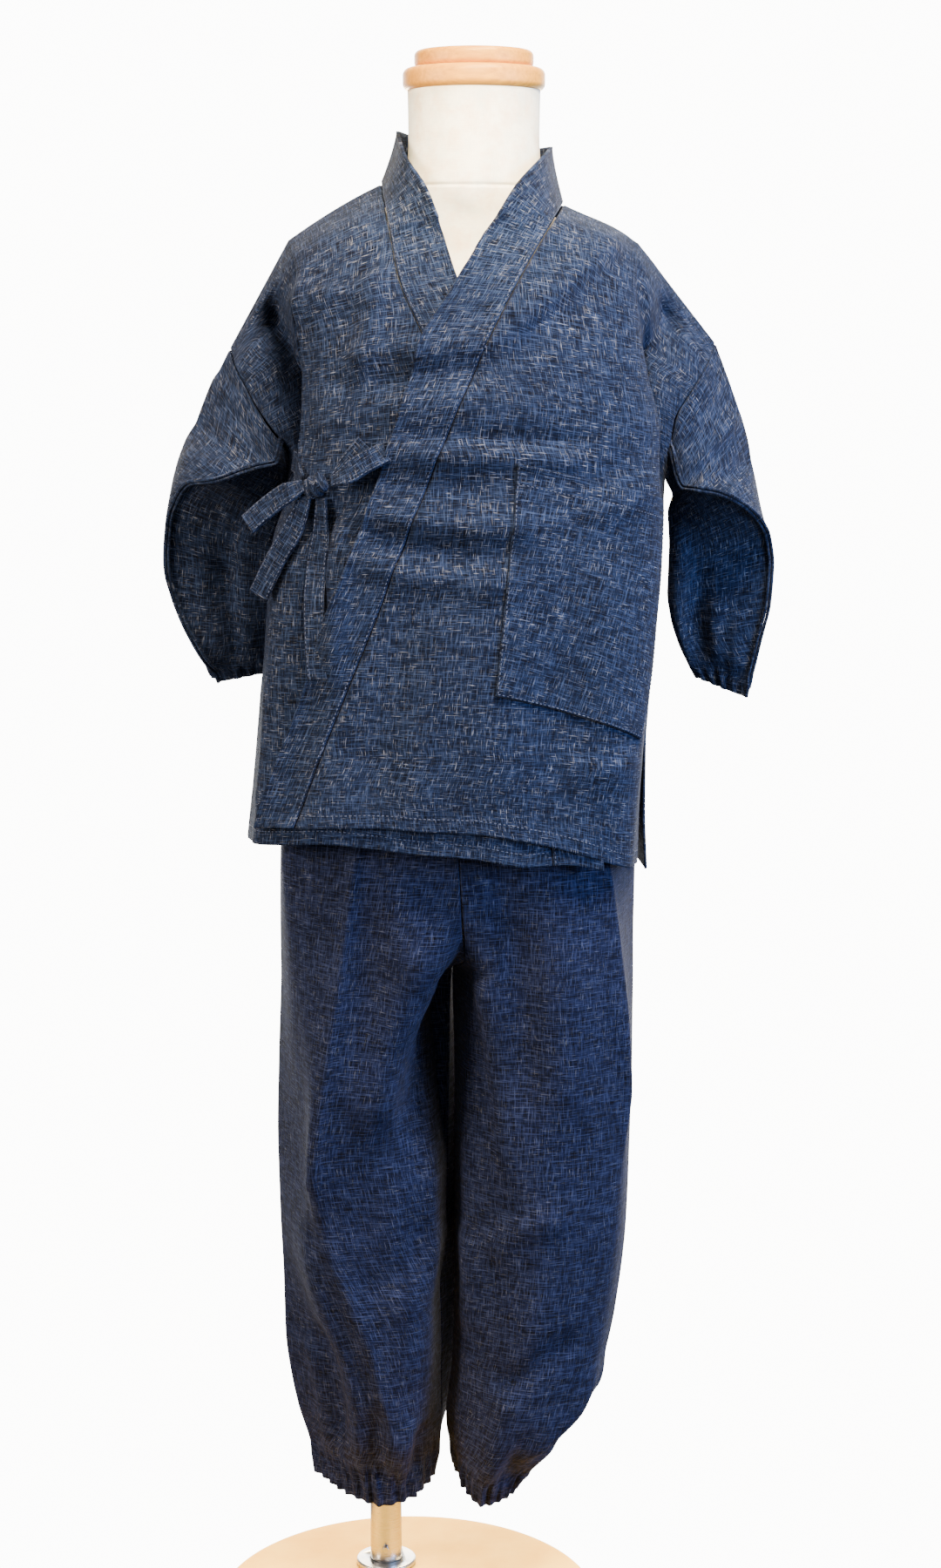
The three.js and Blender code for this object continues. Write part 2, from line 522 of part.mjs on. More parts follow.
function collarBehindNeck(w) {
  const seam = backPoint(w, neckline(w));
  const inward = vec(NECK.x - seam.x, NECK.y - seam.y, 0).setLength(COLLAR_LEAN);
  const rise = Math.sqrt(COLLAR_WIDTH ** 2 - COLLAR_LEAN ** 2);
  const edge = seam.clone().add(inward).add(vec(0, 0, rise));
  const foot = seam.clone().add(vec(0, 0, COLLAR_FOOT));
  return steps(COLLAR_ACROSS).map((t) => foot.clone().lerp(edge, t));
}

function collar() {
  const lapEdge = smoothTable(LAP_NECK_EDGE, 'v');
  const underEdge = smoothTable(UNDER_NECK_EDGE, 'v');
  const lap = BODY_LEVELS.map((v) => collarOnFront(v, 'lap', lapLines, lapEdge)).reverse();
  const behind = [2, 1, 0, -1, -2].map((k) => collarBehindNeck(k / BACK_STEPS[0]));
  const under = BODY_LEVELS.map((v) => collarOnFront(v, 'under', underLines, underEdge));
  const rows = [...lap, ...behind, ...under].map((row) => row.map((p) => vec(p.x, p.y, p.z)));
  return wall(rows, BAND);
}

// ---- pocket and ties ------------------------------------------------------------------------
// Corners of the patch pocket on the lapping front, as surface positions.
const POCKET = { top: [[0.15, 5.62], [1.25, 6.05]], bottom: [[0.085, 8.92], [0.82, 9.6]] };
const POCKET_STEPS = 8;
const POCKET_STAND = 1.3;         // clear of the faceted cloth under it

function pocket() {
  const rows = steps(POCKET_STEPS).map((down) => steps(POCKET_STEPS).map((across) => {
    const [top, bottom] = [POCKET.top, POCKET.bottom];
    const w = lerp(lerp(top[0][0], top[1][0], across), lerp(bottom[0][0], bottom[1][0], across), down);
    const v = lerp(lerp(top[0][1], top[1][1], across), lerp(bottom[0][1], bottom[1][1], across), down);
    const p = frontPoint(w, v, 'lap', CLOTH + POCKET_STAND);
    return vec(p.x, p.y, p.z);
  }));
  return wall(rows, CLOTH);
}

// The face of the under front at a given x and z, moved out by stand.
function onFront(x, z, stand) {
  const wAt = (v) => bisect((w) => frontSurface(w, v).x - x, -1, 1);
  const v = bisect((level) => frontSurface(wAt(level), level).z - z, 1, LAST);
  const p = frontPoint(wAt(v), v, 'under', stand);
  p.normal = surfaceNormal(frontSurface, wAt(v), v);
  return p;
}

// A flat strap along a centre line, its face turned towards "facing".
const NEARBY = 0.05;            // a step along the centre line, to find its direction
function strap({ facing, bunched, free, laid }) {
  const centres = free ? free.map((p) => vec(...p)) : laid.map((p) => onFront(...p));
  const facings = free ? free.map(() => vec(...facing)) : centres.map((p) => p.normal);
  const path = smoothPath(centres);
  const turned = smoothPath(facings);
  const last = centres.length - 1;
  const rows = steps(last * STRAP_STEPS).map((t) => {
    const k = t * last;
    const ahead = path(Math.min(k + NEARBY, last)).sub(path(Math.max(k - NEARBY, 0)));
    const fromKnot = Math.abs(t - bunched) / BUNCHED_SHARE;
    const half = (STRAP.width / 2) * lerp(BUNCH, 1, Math.min(1, fromKnot));
    const across = turned(k).cross(ahead).setLength(half);
    return [-1, 0, 1].map((side) => path(k).addScaledVector(across, side));
  });
  return wall(rows, STRAP.thick);
}

function knot() {
  return new THREE.SphereGeometry(1, 12, 8)
    .scale(KNOT.halfX, KNOT.halfY, KNOT.halfZ)
    .rotateZ(KNOT.turn)
    .translate(KNOT.x, KNOT.y, KNOT.z);
}

// ---- sleeves --------------------------------------------------------------------------------
const ARMHOLE_LEVELS = BODY_LEVELS.filter((v) => v <= ARMPIT);
const ARMPIT_GAP = 1.2;         // the four walls that meet under the arm need more room
const UPPER = ARMHOLE_LEVELS.length - 2;
const LOWER = 4;
const BEHIND = ARMHOLE_LEVELS.length - 1;
const SLEEVE_ROWS = 11;
const CUFF_ROWS = 3;
const CUFF_FROM = 0.86;         // share of the sleeve's length where the gathers begin
const GATHERS_FULL = 2 / 3;     // share of the cuff over which the gathers grow to full depth
const SLEEVE_CROWN = 0.08;      // the upper face swells by this share of its width
const SLEEVE_HOLLOW = 1.5;      // the face under the welt sinks in by this much
const SLEEVE_ROUND = 0.6;       // lower is squarer, for the back of the sleeve
const BESIDE_SEAM = 2.97;       // w just inside the armhole seam

// The armhole: down the front edge, a few points under the arm, and up the back edge.
function armhole(side) {
  const piece = side > 0 ? 'lap' : 'under';
  const point = (at, v) => {
    const p = at(SEAM_W * side, v);
    p.outward = p.clone().sub(at(BESIDE_SEAM * side, v)).normalize();
    return p;
  };
  const front = (v) => point((w, level) => frontPoint(w, level, piece), v);
  const back = (v) => point(backPoint, v);
  const blend = (a, b, t) => {
    const p = a.clone().lerp(b, t);
    ['normal', 'outward'].forEach((name) => { p[name] = a[name].clone().lerp(b[name], t).normalize(); });
    return p;
  };
  const [welt, bottom] = ARMHOLE_LEVELS.slice(-2).map(front);
  bottom.outward = vec(0.5 * side, 0, 1).normalize();
  return [
    ...ARMHOLE_LEVELS.slice(0, -2).map(front),
    ...steps(LOWER).map((t) => blend(welt, bottom, t)),
    ...ARMHOLE_LEVELS.slice(1, -1).reverse().map(back),
  ];
}

function sleeveSection(row) {
  const outer = vec(row.ox, row.oy, row.oz);
  const welt = vec(row.wx, row.wy, row.wz);
  const inner = vec(row.ix, row.iy, row.iz);
  const back = vec(row.bx, row.by, row.bz);
  const side = Math.sign(outer.x - inner.x);
  const bulge = vec(side * 0.4, -0.8, 0.4);
  const face = (a, b, t, height) => a.clone().lerp(b, t).addScaledVector(bulge, 4 * height * t * (1 - t));
  const middle = inner.clone().lerp(outer, 0.5);
  const reach = back.clone().sub(middle);
  const upperHeight = SLEEVE_CROWN * outer.distanceTo(welt);
  return [
    ...steps(UPPER).slice(0, -1).map((t) => face(outer, welt, t, upperHeight)),
    ...steps(LOWER).map((t) => face(welt, inner, t, -SLEEVE_HOLLOW)),
    ...steps(BEHIND).slice(1, -1).map((t) => inner.clone().lerp(outer, t)
      .addScaledVector(reach, (4 * t * (1 - t)) ** SLEEVE_ROUND)),
  ];
}

// Rows of a gathered end: the same outline with a peak and a valley for every gather.
function gathered(row, gathers, depth) {
  const centre = row.reduce((sum, p) => sum.add(p), vec(0, 0, 0)).divideScalar(row.length);
  const along = [0];
  row.forEach((p, i) => along.push(along[i] + p.distanceTo(row[(i + 1) % row.length])));
  const round = along[row.length];
  const count = 2 * gathers;
  return Array.from({ length: count }, (_, i) => {
    const at = (i * round) / count;
    const k = along.findLastIndex((d) => d <= at);
    const t = (at - along[k]) / (along[k + 1] - along[k]);
    const p = row[k].clone().lerp(row[(k + 1) % row.length], t);
    const outward = p.clone().sub(centre).setZ(0).normalize();
    return p.addScaledVector(outward, (i % 2 ? -depth : depth) / 2);
  });
}

function sleeve(rows, side) {
  const stations = [armhole(side), ...rows.map(sleeveSection)];
  const last = stations.length - 1;
  const paths = stations[0].map((_, k) => smoothPath(stations.map((station) => station[k])));
  const section = (t) => paths.map((path) => path(t * last));
  const first = stations[0].map((p, k) => {
    const fromArmpit = Math.abs(k - UPPER - LOWER);
    const moved = p.clone().addScaledVector(p.outward, fromArmpit < LOWER ? ARMPIT_GAP : SEAM_GAP);
    moved.normal = p.normal;
    return moved;
  });
  const plain = steps(SLEEVE_ROWS).slice(1).map((t) => section(t * CUFF_FROM));
  const cuff = steps(CUFF_ROWS).slice(1).map((t) =>
    gathered(section(lerp(CUFF_FROM, 1, t)), SLEEVE_GATHERS, GATHER_DEPTH * Math.min(1, t / GATHERS_FULL)));
  const all = [first, ...plain, ...cuff];
  return wall(side > 0 ? all.map((row) => row.slice().reverse()) : all, CLOTH, true);
}

// ---- trousers -------------------------------------------------------------------------------
const CROTCH = 4;               // table row of the crotch
const LEG_LAST = TROUSER_FRONT_RIGHT.length - 1;
const LEG_STEPS = [2, 3, 3, 2];
const LEG_ROWS = 12;
const LEG_CUFF_FROM = 10.6;
const LEG_CUFF_ROWS = 3;
const WAISTBAND = { top: 722, height: 24, thick: 3 };
// Height added to the bottom rows at the side seam and at the inside-leg seam.
const HEM_RISE = { right: { side: 9, inner: 14 }, left: { side: 6, inner: 22 } };
const HEM_RISE_ROWS = 3;
const JOINED_TO = CROTCH - 0.9; // above this row the two legs meet in the centre seam

function legCurve(rows, rise) {
  const at = smoothTable(rows);
  return (v) => {
    const row = at(v);
    const low = THREE.MathUtils.smoothstep(v, LEG_LAST - HEM_RISE_ROWS, LEG_LAST);
    const lift = [rise.side, rise.side * 0.35, 0, rise.inner * 0.4, rise.inner];  // s, f, c, g, m
    const names = ['s', 'f', 'c', 'g', 'm'];
    return names.map((n, k) => vec(row[`${n}x`], row[`${n}y`], row.z + lift[k] * low));
  };
}

function legRow(keys, count) {
  const path = smoothPath(keys);
  if (!count) return LEG_STEPS.flatMap((n, k) => steps(n).slice(k ? 1 : 0).map((t) => path(k + t)));
  return steps(count).map((t) => path(t * (keys.length - 1)));
}

// Rims stand square to Y at the side and inside-leg seams and square to X at the centre seam.
function squareRims(row, v) {
  const [first, last] = [row[0], row[row.length - 1]];
  const middle = row[Math.floor(row.length / 2)];
  const sideways = (end, other) => vec(Math.sign(end.x - other.x), 0, 0);
  first.normal = sideways(first, last);
  const joined = v < JOINED_TO;
  last.normal = joined ? vec(0, Math.sign(middle.y - first.y), 0) : sideways(last, first);
  if (!joined) last.addScaledVector(last.normal, -SEAM_GAP / 2);
  return row;
}

function legPanel(frontCurve, ownCurve, isBack, reversed) {
  const gathers = TROUSER_GATHERS / 2;
  const keysAt = (v) => {
    const keys = ownCurve(v);
    const shared = frontCurve(v);
    if (isBack) {
      keys[0] = shared[0].clone().add(vec(0, SEAM_GAP, 0));
      if (v >= CROTCH) keys[4] = shared[4].clone().add(vec(0, SEAM_GAP, 0));
    }
    return keys;
  };
  const plain = steps(LEG_ROWS).map((t) => squareRims(legRow(keysAt(t * LEG_CUFF_FROM)), t * LEG_CUFF_FROM));
  const cuff = steps(LEG_CUFF_ROWS).slice(1).map((t) => {
    const v = lerp(LEG_CUFF_FROM, LEG_LAST, t);
    const row = legRow(keysAt(v), 2 * gathers);
    const centre = vec((row[0].x + row[2 * gathers].x) / 2, (row[0].y + row[2 * gathers].y) / 2, 0);
    row.slice(1, -1).forEach((p, i) => {
      const outward = p.clone().sub(centre).setZ(0).normalize();
      p.addScaledVector(outward, (i % 2 ? -1 : 1) * (GATHER_DEPTH / 2) * Math.min(1, t / GATHERS_FULL));
    });
    return squareRims(row, v);
  });
  const rows = [...plain, ...cuff];
  return wall(reversed ? rows.map((row) => row.slice().reverse()) : rows, CLOTH);
}

// The elastic casing that holds the trousers at the form's waist.
const WAIST_AROUND = 40;
const WAIST_WAVE = 0.6;         // height of the elastic's gathers
function waistband() {
  const at = smoothTable(TORSO, 'z');
  const levels = steps(2).map((t) => WAISTBAND.top - t * WAISTBAND.height);
  const rows = levels.map((z) => Array.from({ length: WAIST_AROUND }, (_, i) => {
    const row = at(z);
    const reach = WAISTBAND.thick + 2 * SEAM_GAP + (i % 2 ? WAIST_WAVE : 0);
    const angle = (i / WAIST_AROUND) * 2 * Math.PI;
    const [x, y] = [row.halfX + reach, row.halfY + reach];
    return vec(row.x + x * Math.cos(angle), row.y + y * Math.sin(angle), z);
  }));
  return wall(rows, WAISTBAND.thick, true);
}

// ---- dress form and stand -------------------------------------------------------------------
const AROUND = 30;
const RINGS = 23;
const RING_SPACING = 0.93;      // under 1 spaces the rings wider at the neck

function torso() {
  const at = smoothTable(TORSO, 'z');
  const zs = steps(RINGS).map((t) => lerp(NECK.top, TORSO[0].z, t ** RING_SPACING));
  const rings = zs.map((z) => Array.from({ length: AROUND }, (_, i) => {
    const row = at(z);
    const angle = (i / AROUND) * 2 * Math.PI;
    const x = row.halfX * Math.cos(angle);
    return vec(row.x + x, row.y + row.halfY * Math.sin(angle), z + row.slope * x);
  }));
  const { points, triangles } = stitch(rings, true);
  const lastRing = points.length - AROUND;
  const [top, bottom] = [points.length, points.length + 1];
  for (let i = 0; i < AROUND; i += 1) {
    const next = (i + 1) % AROUND;
    triangles.push([top, i, next], [bottom, lastRing + next, lastRing + i]);
  }
  const first = at(NECK.top);
  const foot = at(TORSO[0].z);
  points.push(vec(first.x, first.y, NECK.top), vec(foot.x, foot.y, TORSO[0].z));
  const geometry = new THREE.BufferGeometry();
  const positions = points.flatMap((p) => [p.x, p.y, p.z]);
  geometry.setAttribute('position', new THREE.Float32BufferAttribute(positions, 3));
  geometry.setIndex(triangles.flat());
  geometry.computeVertexNormals();
  return geometry;
}

// A round disc with rounded edges, standing on z.
function disc({ radius, thick, edge }, sides) {
  const arc = (cz, from) => steps(3).map((t) => {
    const a = from + (t * Math.PI) / 2;
    return new THREE.Vector2(radius - edge + edge * Math.cos(a), cz + edge * Math.sin(a));
  });
  const profile = [
    new THREE.Vector2(0, 0), ...arc(edge, -Math.PI / 2), ...arc(thick - edge, 0), new THREE.Vector2(0, thick),
  ];
  return new THREE.LatheGeometry(profile, sides).rotateX(Math.PI / 2);
}

function cylinder(radius, low, high, sides) {
  return new THREE.CylinderGeometry(radius, radius, high - low, sides)
    .rotateX(Math.PI / 2).translate(0, 0, (low + high) / 2);
}

const FLANGE = { outer: 24, inner: 13, low: 17, high: 21.5, bevel: 2 };
function flange() {
  const { outer, inner, low, high, bevel } = FLANGE;
  const rim = [[outer, low], [outer, high - bevel], [outer - bevel, high]];
  const profile = [[inner, low], ...rim, [inner, high], [inner, low]].map((p) => new THREE.Vector2(...p));
  return new THREE.LatheGeometry(profile, 28).rotateX(Math.PI / 2);
}

// ---- build ----------------------------------------------------------------------------------
const group = new THREE.Group();
const INDIGO = '#27364d';
const LINEN = '#e9e0cb';
const MAPLE = '#c99a5e';
const STEEL = '#a9abad';
const PLATE_CREAM = '#e7d9c4';

function add(name, geometry, color, roughness, metalness = 0) {
  const mesh = new THREE.Mesh(geometry, new THREE.MeshStandardMaterial({ color, roughness, metalness }));
  mesh.name = name;
  group.add(mesh);
  return mesh;
}
const addCloth = (name, geometry) => add(name, geometry, INDIGO, 0.95);

add('base_plate', disc(PLATE, 48), PLATE_CREAM, 0.6);
add('pole', cylinder(POLE.radius, PLATE.thick, TORSO[0].z, 28), STEEL, 0.35, 1)
  .position.set(POLE.x, POLE.y, 0);
add('pole_flange', flange(), STEEL, 0.35, 1).position.set(POLE.x, POLE.y, 0);
const SCREW = { radius: 2.8, long: 3.5, z: 34 };
add('set_screw', new THREE.CylinderGeometry(SCREW.radius, SCREW.radius, SCREW.long, 16), STEEL, 0.4, 1)
  .position.set(POLE.x, POLE.y - POLE.radius - SEAM_GAP - SCREW.long / 2, SCREW.z);
add('form_torso', torso(), LINEN, 0.9);
add('neck_cap_lower', disc(CAP_LOWER, 32), MAPLE, 0.5).position.set(NECK.x, NECK.y, NECK.top);
add('neck_cap_upper', disc(CAP_UPPER, 32), MAPLE, 0.5)
  .position.set(NECK.x, NECK.y, NECK.top + CAP_LOWER.thick);

addCloth('jacket_front_left', frontPanel('lap', lapLines, 1));
addCloth('jacket_front_right', frontPanel('under', underLines, -1));
addCloth('jacket_back', backPanel());
addCloth('collar', collar());
addCloth('pocket', pocket());
addCloth('sleeve_right', sleeve(SLEEVE_RIGHT, -1));
addCloth('sleeve_left', sleeve(SLEEVE_LEFT, 1));
Object.entries(TIES).forEach(([name, tie]) => addCloth(name, strap(tie)));
addCloth('tie_knot', knot());

const frontRight = legCurve(TROUSER_FRONT_RIGHT, HEM_RISE.right);
const backRight = legCurve(TROUSER_BACK_RIGHT, { side: 0, inner: 0 });
const frontLeft = legCurve(TROUSER_FRONT_LEFT, HEM_RISE.left);
const backLeft = legCurve(TROUSER_BACK_LEFT, { side: 0, inner: 0 });
addCloth('trouser_front_right', legPanel(frontRight, frontRight, false, false));
addCloth('trouser_back_right', legPanel(frontRight, backRight, true, true));
addCloth('trouser_front_left', legPanel(frontLeft, frontLeft, false, true));
addCloth('trouser_back_left', legPanel(frontLeft, backLeft, true, false));
addCloth('waistband', waistband());

export default group;
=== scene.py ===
# %% [markdown]
# # A child's samue on a dress form
# A cross-over jacket and elastic-cuffed trousers in indigo slub cotton, worn by a limbless
# linen form on a steel pole and a round plate. Every surface is worked out in millimetres from
# the same section tables as the frame, then built in metres. The wearer's right is at -X and
# the form faces -Y.

# %% Frame and tools
import math

import bpy
import numpy as np
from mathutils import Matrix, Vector


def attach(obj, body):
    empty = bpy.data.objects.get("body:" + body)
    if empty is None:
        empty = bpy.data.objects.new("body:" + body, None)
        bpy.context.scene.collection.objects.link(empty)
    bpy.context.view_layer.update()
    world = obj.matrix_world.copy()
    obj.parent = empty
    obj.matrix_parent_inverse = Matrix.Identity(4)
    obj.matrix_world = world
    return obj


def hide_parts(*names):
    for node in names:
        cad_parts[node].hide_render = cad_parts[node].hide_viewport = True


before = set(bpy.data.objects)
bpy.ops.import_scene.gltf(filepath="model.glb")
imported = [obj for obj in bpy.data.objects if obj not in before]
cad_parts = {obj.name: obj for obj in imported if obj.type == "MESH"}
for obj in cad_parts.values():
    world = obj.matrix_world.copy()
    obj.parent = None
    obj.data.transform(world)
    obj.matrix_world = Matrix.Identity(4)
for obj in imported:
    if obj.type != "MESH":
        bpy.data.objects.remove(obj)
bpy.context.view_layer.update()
print("frame loaded:", len(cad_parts), "nodes")

MM = 0.001

# %% [markdown]
# ## Section tables
# Each row is one section of a garment piece, from its top to its hem, in millimetres.

# %% Tables
def table(columns, rows):
    return {name: np.array([row[i] for row in rows], float) for i, name in enumerate(columns)}


# Half fronts: the centre line, the drape fold below the shoulder, and the outer edge, which is
# the armhole seam down to the armpit (row 5) and the side seam below it. "dent" is how far the
# cloth tucks in behind the fold.
FRONT_COLUMNS = ["cy", "cz", "fx", "fy", "fz", "ex", "ey", "ez", "dent"]
FRONT_RIGHT = table(FRONT_COLUMNS, [
    [40, 1132, -86, 40, 1072, -131, 42, 992, 0],
    [-16, 1104, -80, 6, 1058, -127, 28, 981, 2],
    [-45, 1072, -75, -10, 1038, -119, 14, 967, 8],
    [-68, 1030, -72, -19, 1005, -109, 6, 950, 14],
    [-80, 990, -71, -24, 970, -97, 1, 933, 14],
    [-87, 950, -71, -27, 936, -84, 8, 913, 3],
    [-91, 890, -79, -26, 884, -88, 12, 884, 0],
    [-92, 845, -92, -24, 842, -99, 16, 845, 0],
    [-93, 795, -98, -26, 790, -104, 20, 792, 0],
    [-94, 745, -101, -30, 740, -108, 22, 742, 0],
    [-94, 705, -104, -34, 696, -112, 22, 697, 0],
    [-95, 670, -108, -38, 660, -116, 20, 660, 0],
    [-95, 646, -112, -42, 632, -120, 14, 624, 0],
])
FRONT_LEFT = table(FRONT_COLUMNS, [
    [40, 1115, 175, 40, 1070, 234, 42, 996, 0],
    [-16, 1098, 172, 6, 1057, 229, 28, 984, 2],
    [-45, 1070, 171, -8, 1036, 221, 13, 972, 8],
    [-68, 1030, 174, -15, 1005, 211, 4, 957, 14],
    [-80, 990, 179, -19, 974, 201, 0, 940, 12],
    [-87, 950, 187, -22, 930, 195, 7, 896, 3],
    [-91, 890, 189, -24, 880, 194, 12, 872, 0],
    [-92, 845, 188, -24, 836, 193, 17, 838, 0],
    [-93, 795, 184, -26, 784, 190, 20, 788, 0],
    [-94, 745, 180, -28, 734, 186, 21, 740, 0],
    [-94, 705, 177, -30, 692, 182, 20, 697, 0],
    [-95, 670, 174, -30, 648, 179, 16, 655, 0],
    [-95, 646, 172, -25, 610, 177, 6, 606, 0],
])
# Half backs share the side seams of the fronts from row 5 down.
BACK_RIGHT = table(FRONT_COLUMNS, [
    [40, 1132, -86, 40, 1072, -131, 42, 992, 0],
    [74, 1110, -81, 62, 1058, -128, 60, 981, 2],
    [95, 1085, -75, 80, 1036, -121, 72, 966, 8],
    [108, 1030, -72, 88, 1002, -111, 74, 949, 12],
    [114, 985, -72, 92, 968, -99, 64, 932, 12],
    [117, 945, -75, 92, 934, -84, 8, 913, 3],
    [119, 890, -80, 92, 884, -88, 12, 884, 0],
    [120, 845, -88, 92, 842, -99, 16, 845, 0],
    [121, 795, -93, 92, 790, -104, 20, 792, 0],
    [122, 745, -97, 92, 740, -108, 22, 742, 0],
    [123, 705, -101, 92, 696, -112, 22, 697, 0],
    [124, 670, -106, 92, 660, -117, 22, 660, 0],
    [125, 640, -110, 92, 630, -121, 20, 624, 0],
])
BACK_LEFT = table(FRONT_COLUMNS, [
    [40, 1115, 175, 40, 1070, 234, 42, 996, 0],
    [74, 1110, 172, 62, 1056, 230, 60, 984, 2],
    [95, 1085, 170, 80, 1034, 223, 72, 971, 8],
    [108, 1030, 172, 88, 1003, 213, 74, 956, 12],
    [114, 985, 176, 92, 972, 203, 64, 939, 12],
    [117, 945, 181, 92, 930, 195, 7, 896, 3],
    [119, 890, 183, 92, 880, 194, 12, 872, 0],
    [120, 845, 183, 92, 836, 193, 17, 838, 0],
    [121, 795, 181, 92, 784, 190, 20, 788, 0],
    [122, 745, 179, 92, 734, 187, 22, 740, 0],
    [123, 705, 178, 92, 690, 184, 24, 695, 0],
    [124, 670, 178, 92, 646, 184, 26, 648, 0],
    [125, 640, 179, 92, 600, 186, 28, 597, 0],
])

# Slanting edges of the crossed fronts: x of the line at each height.
LINE_COLUMNS = ["z", "seam", "edge"]
LAP_LINES = table(LINE_COLUMNS, [
    [1130, 134, 99], [1096, 118, 76], [1072, 103, 61], [1030, 79, 36], [1000, 64, 17],
    [967, 49, 7], [932, 34, -4], [887, 16, -19], [846, 0, -34], [806, -15, -48],
    [760, -33, -64], [690, -59, -87], [640, -76, -101],
])
UNDER_LINES = table(LINE_COLUMNS, [
    [1130, -20, 14], [1096, -13, 23], [1072, -8, 30], [1041, -1, 40], [1000, 17, 58],
    [950, 36, 76], [900, 53, 92], [850, 69, 107], [800, 84, 121], [740, 98, 134],
    [690, 106, 142], [620, 112, 148],
])
# How far each hem is drawn up (+) or hangs down (-) against the level curves, by x.
HEM_SHIFT = table(["x", "lap", "under"], [
    [-125, 12, 0], [-90, 12, -1], [-60, 10, -2], [-20, 8, -8], [20, 3, -15], [82, 0, -20],
    [130, 1, -8], [180, 0, -4],
])
# Free edge of the collar beside the neck, from the ridge (v = 0) down to where it lies flat.
NECK_EDGE_COLUMNS = ["v", "x", "y", "z"]
LAP_NECK_EDGE = table(NECK_EDGE_COLUMNS, [
    [0, 108, 24, 1138], [0.5, 100, -17, 1128], [1, 83, -39, 1109], [1.5, 70, -46, 1088],
])
UNDER_NECK_EDGE = table(NECK_EDGE_COLUMNS, [
    [0, -2, 24, 1149], [0.5, 4, -17, 1130], [1, 19, -39, 1106], [1.5, 26, -45, 1088],
])

# Sleeves, from the armhole to the cuff: outer fold, welt seam, inner side and back.
SLEEVE_COLUMNS = ["ox", "oy", "oz", "wx", "wy", "wz", "ix", "iy", "iz", "bx", "by", "bz"]
SLEEVE_RIGHT = table(SLEEVE_COLUMNS, [
    [-142, 45, 971, -98, -8, 909, -92, 15, 901, -122, 90, 939],
    [-154, 43, 947, -110, -16, 907, -92, 20, 891, -129, 94, 921],
    [-166, 41, 923, -136, -19, 899, -98, 24, 877, -137, 96, 903],
    [-175, 40, 896, -160, -8, 895, -104, 27, 860, -142, 98, 880],
    [-181, 44, 862, -179, 22, 863, -109, 30, 840, -146, 100, 852],
    [-184, 50, 831, -182, 29, 830, -110, 36, 818, -148, 104, 826],
    [-179, 55, 802, -175, 33, 800, -111, 42, 795, -147, 106, 799],
    [-165, 62, 769, -161, 41, 768, -113, 50, 770, -140, 102, 770],
    [-153, 67, 751, -150, 49, 749, -114, 58, 753, -133, 92, 752],
    [-150, 68, 742, -146, 52, 739, -114, 62, 746, -131, 90, 743],
])
SLEEVE_LEFT = table(SLEEVE_COLUMNS, [
    [248, 45, 960, 208, -8, 891, 201, 16, 883, 227, 90, 928],
    [259, 43, 927, 221, -17, 890, 198, 20, 872, 233, 94, 905],
    [265, 41, 898, 241, -18, 885, 199, 24, 858, 239, 96, 880],
    [272, 43, 866, 261, -6, 871, 200, 28, 842, 244, 98, 856],
    [276, 47, 847, 273, 19, 853, 200, 31, 826, 246, 100, 840],
    [279, 51, 829, 277, 29, 829, 200, 34, 810, 247, 104, 820],
    [278, 55, 806, 276, 35, 803, 203, 38, 790, 247, 106, 799],
    [273, 60, 777, 270, 42, 772, 210, 46, 768, 246, 104, 773],
    [268, 65, 750, 265, 51, 744, 218, 54, 752, 244, 94, 750],
    [265, 67, 733, 262, 55, 727, 226, 60, 741, 244, 92, 734],
])

# Trouser sections from the waist down. Fronts: side seam, outer fold, pressed crease, inner
# corner and seam (centre seam above the crotch, inside-leg seam below). Backs: seam, inner
# corner, back crease, outer fold, side seam.
LEG_FRONT_COLUMNS = ["z", "sx", "sy", "fx", "fy", "cx", "cy", "gx", "gy", "mx", "my"]
TROUSER_FRONT_RIGHT = table(LEG_FRONT_COLUMNS, [
    [697.5, -59, 24, -42, -20, -11, -42, 17, -50, 36, -52],
    [655, -86, 36, -76, -22, -27, -58, 10, -70, 40, -72],
    [610, -97, 42, -92, -14, -34, -63, 8, -72, 42, -74],
    [545, -98, 44, -88, -12, -44, -61, 6, -64, 45, -52],
    [515, -98, 46, -86, -13, -48, -60, 10, -52, 35, 24],
    [445, -101, 52, -80, -15, -60, -55, 22, -18, 33, 30],
    [380, -103, 58, -76, -14, -68, -48, 24, -12, 32, 34],
    [318, -102, 60, -75, -12, -58, -34, 22, -10, 31, 36],
    [260, -100, 62, -58, -14, -34, -34, 16, -6, 26, 38],
    [212, -99, 62, -41, -10, -20, -30, 16, -2, 27, 42],
    [150, -90, 62, -33, -2, -10, -20, 12, 8, 24, 46],
    [112, -79, 58, -42, 14, -16, 2, 10, 18, 24, 46],
    [88, -75, 54, -46, 20, -19, 6, 8, 16, 22, 46],
])
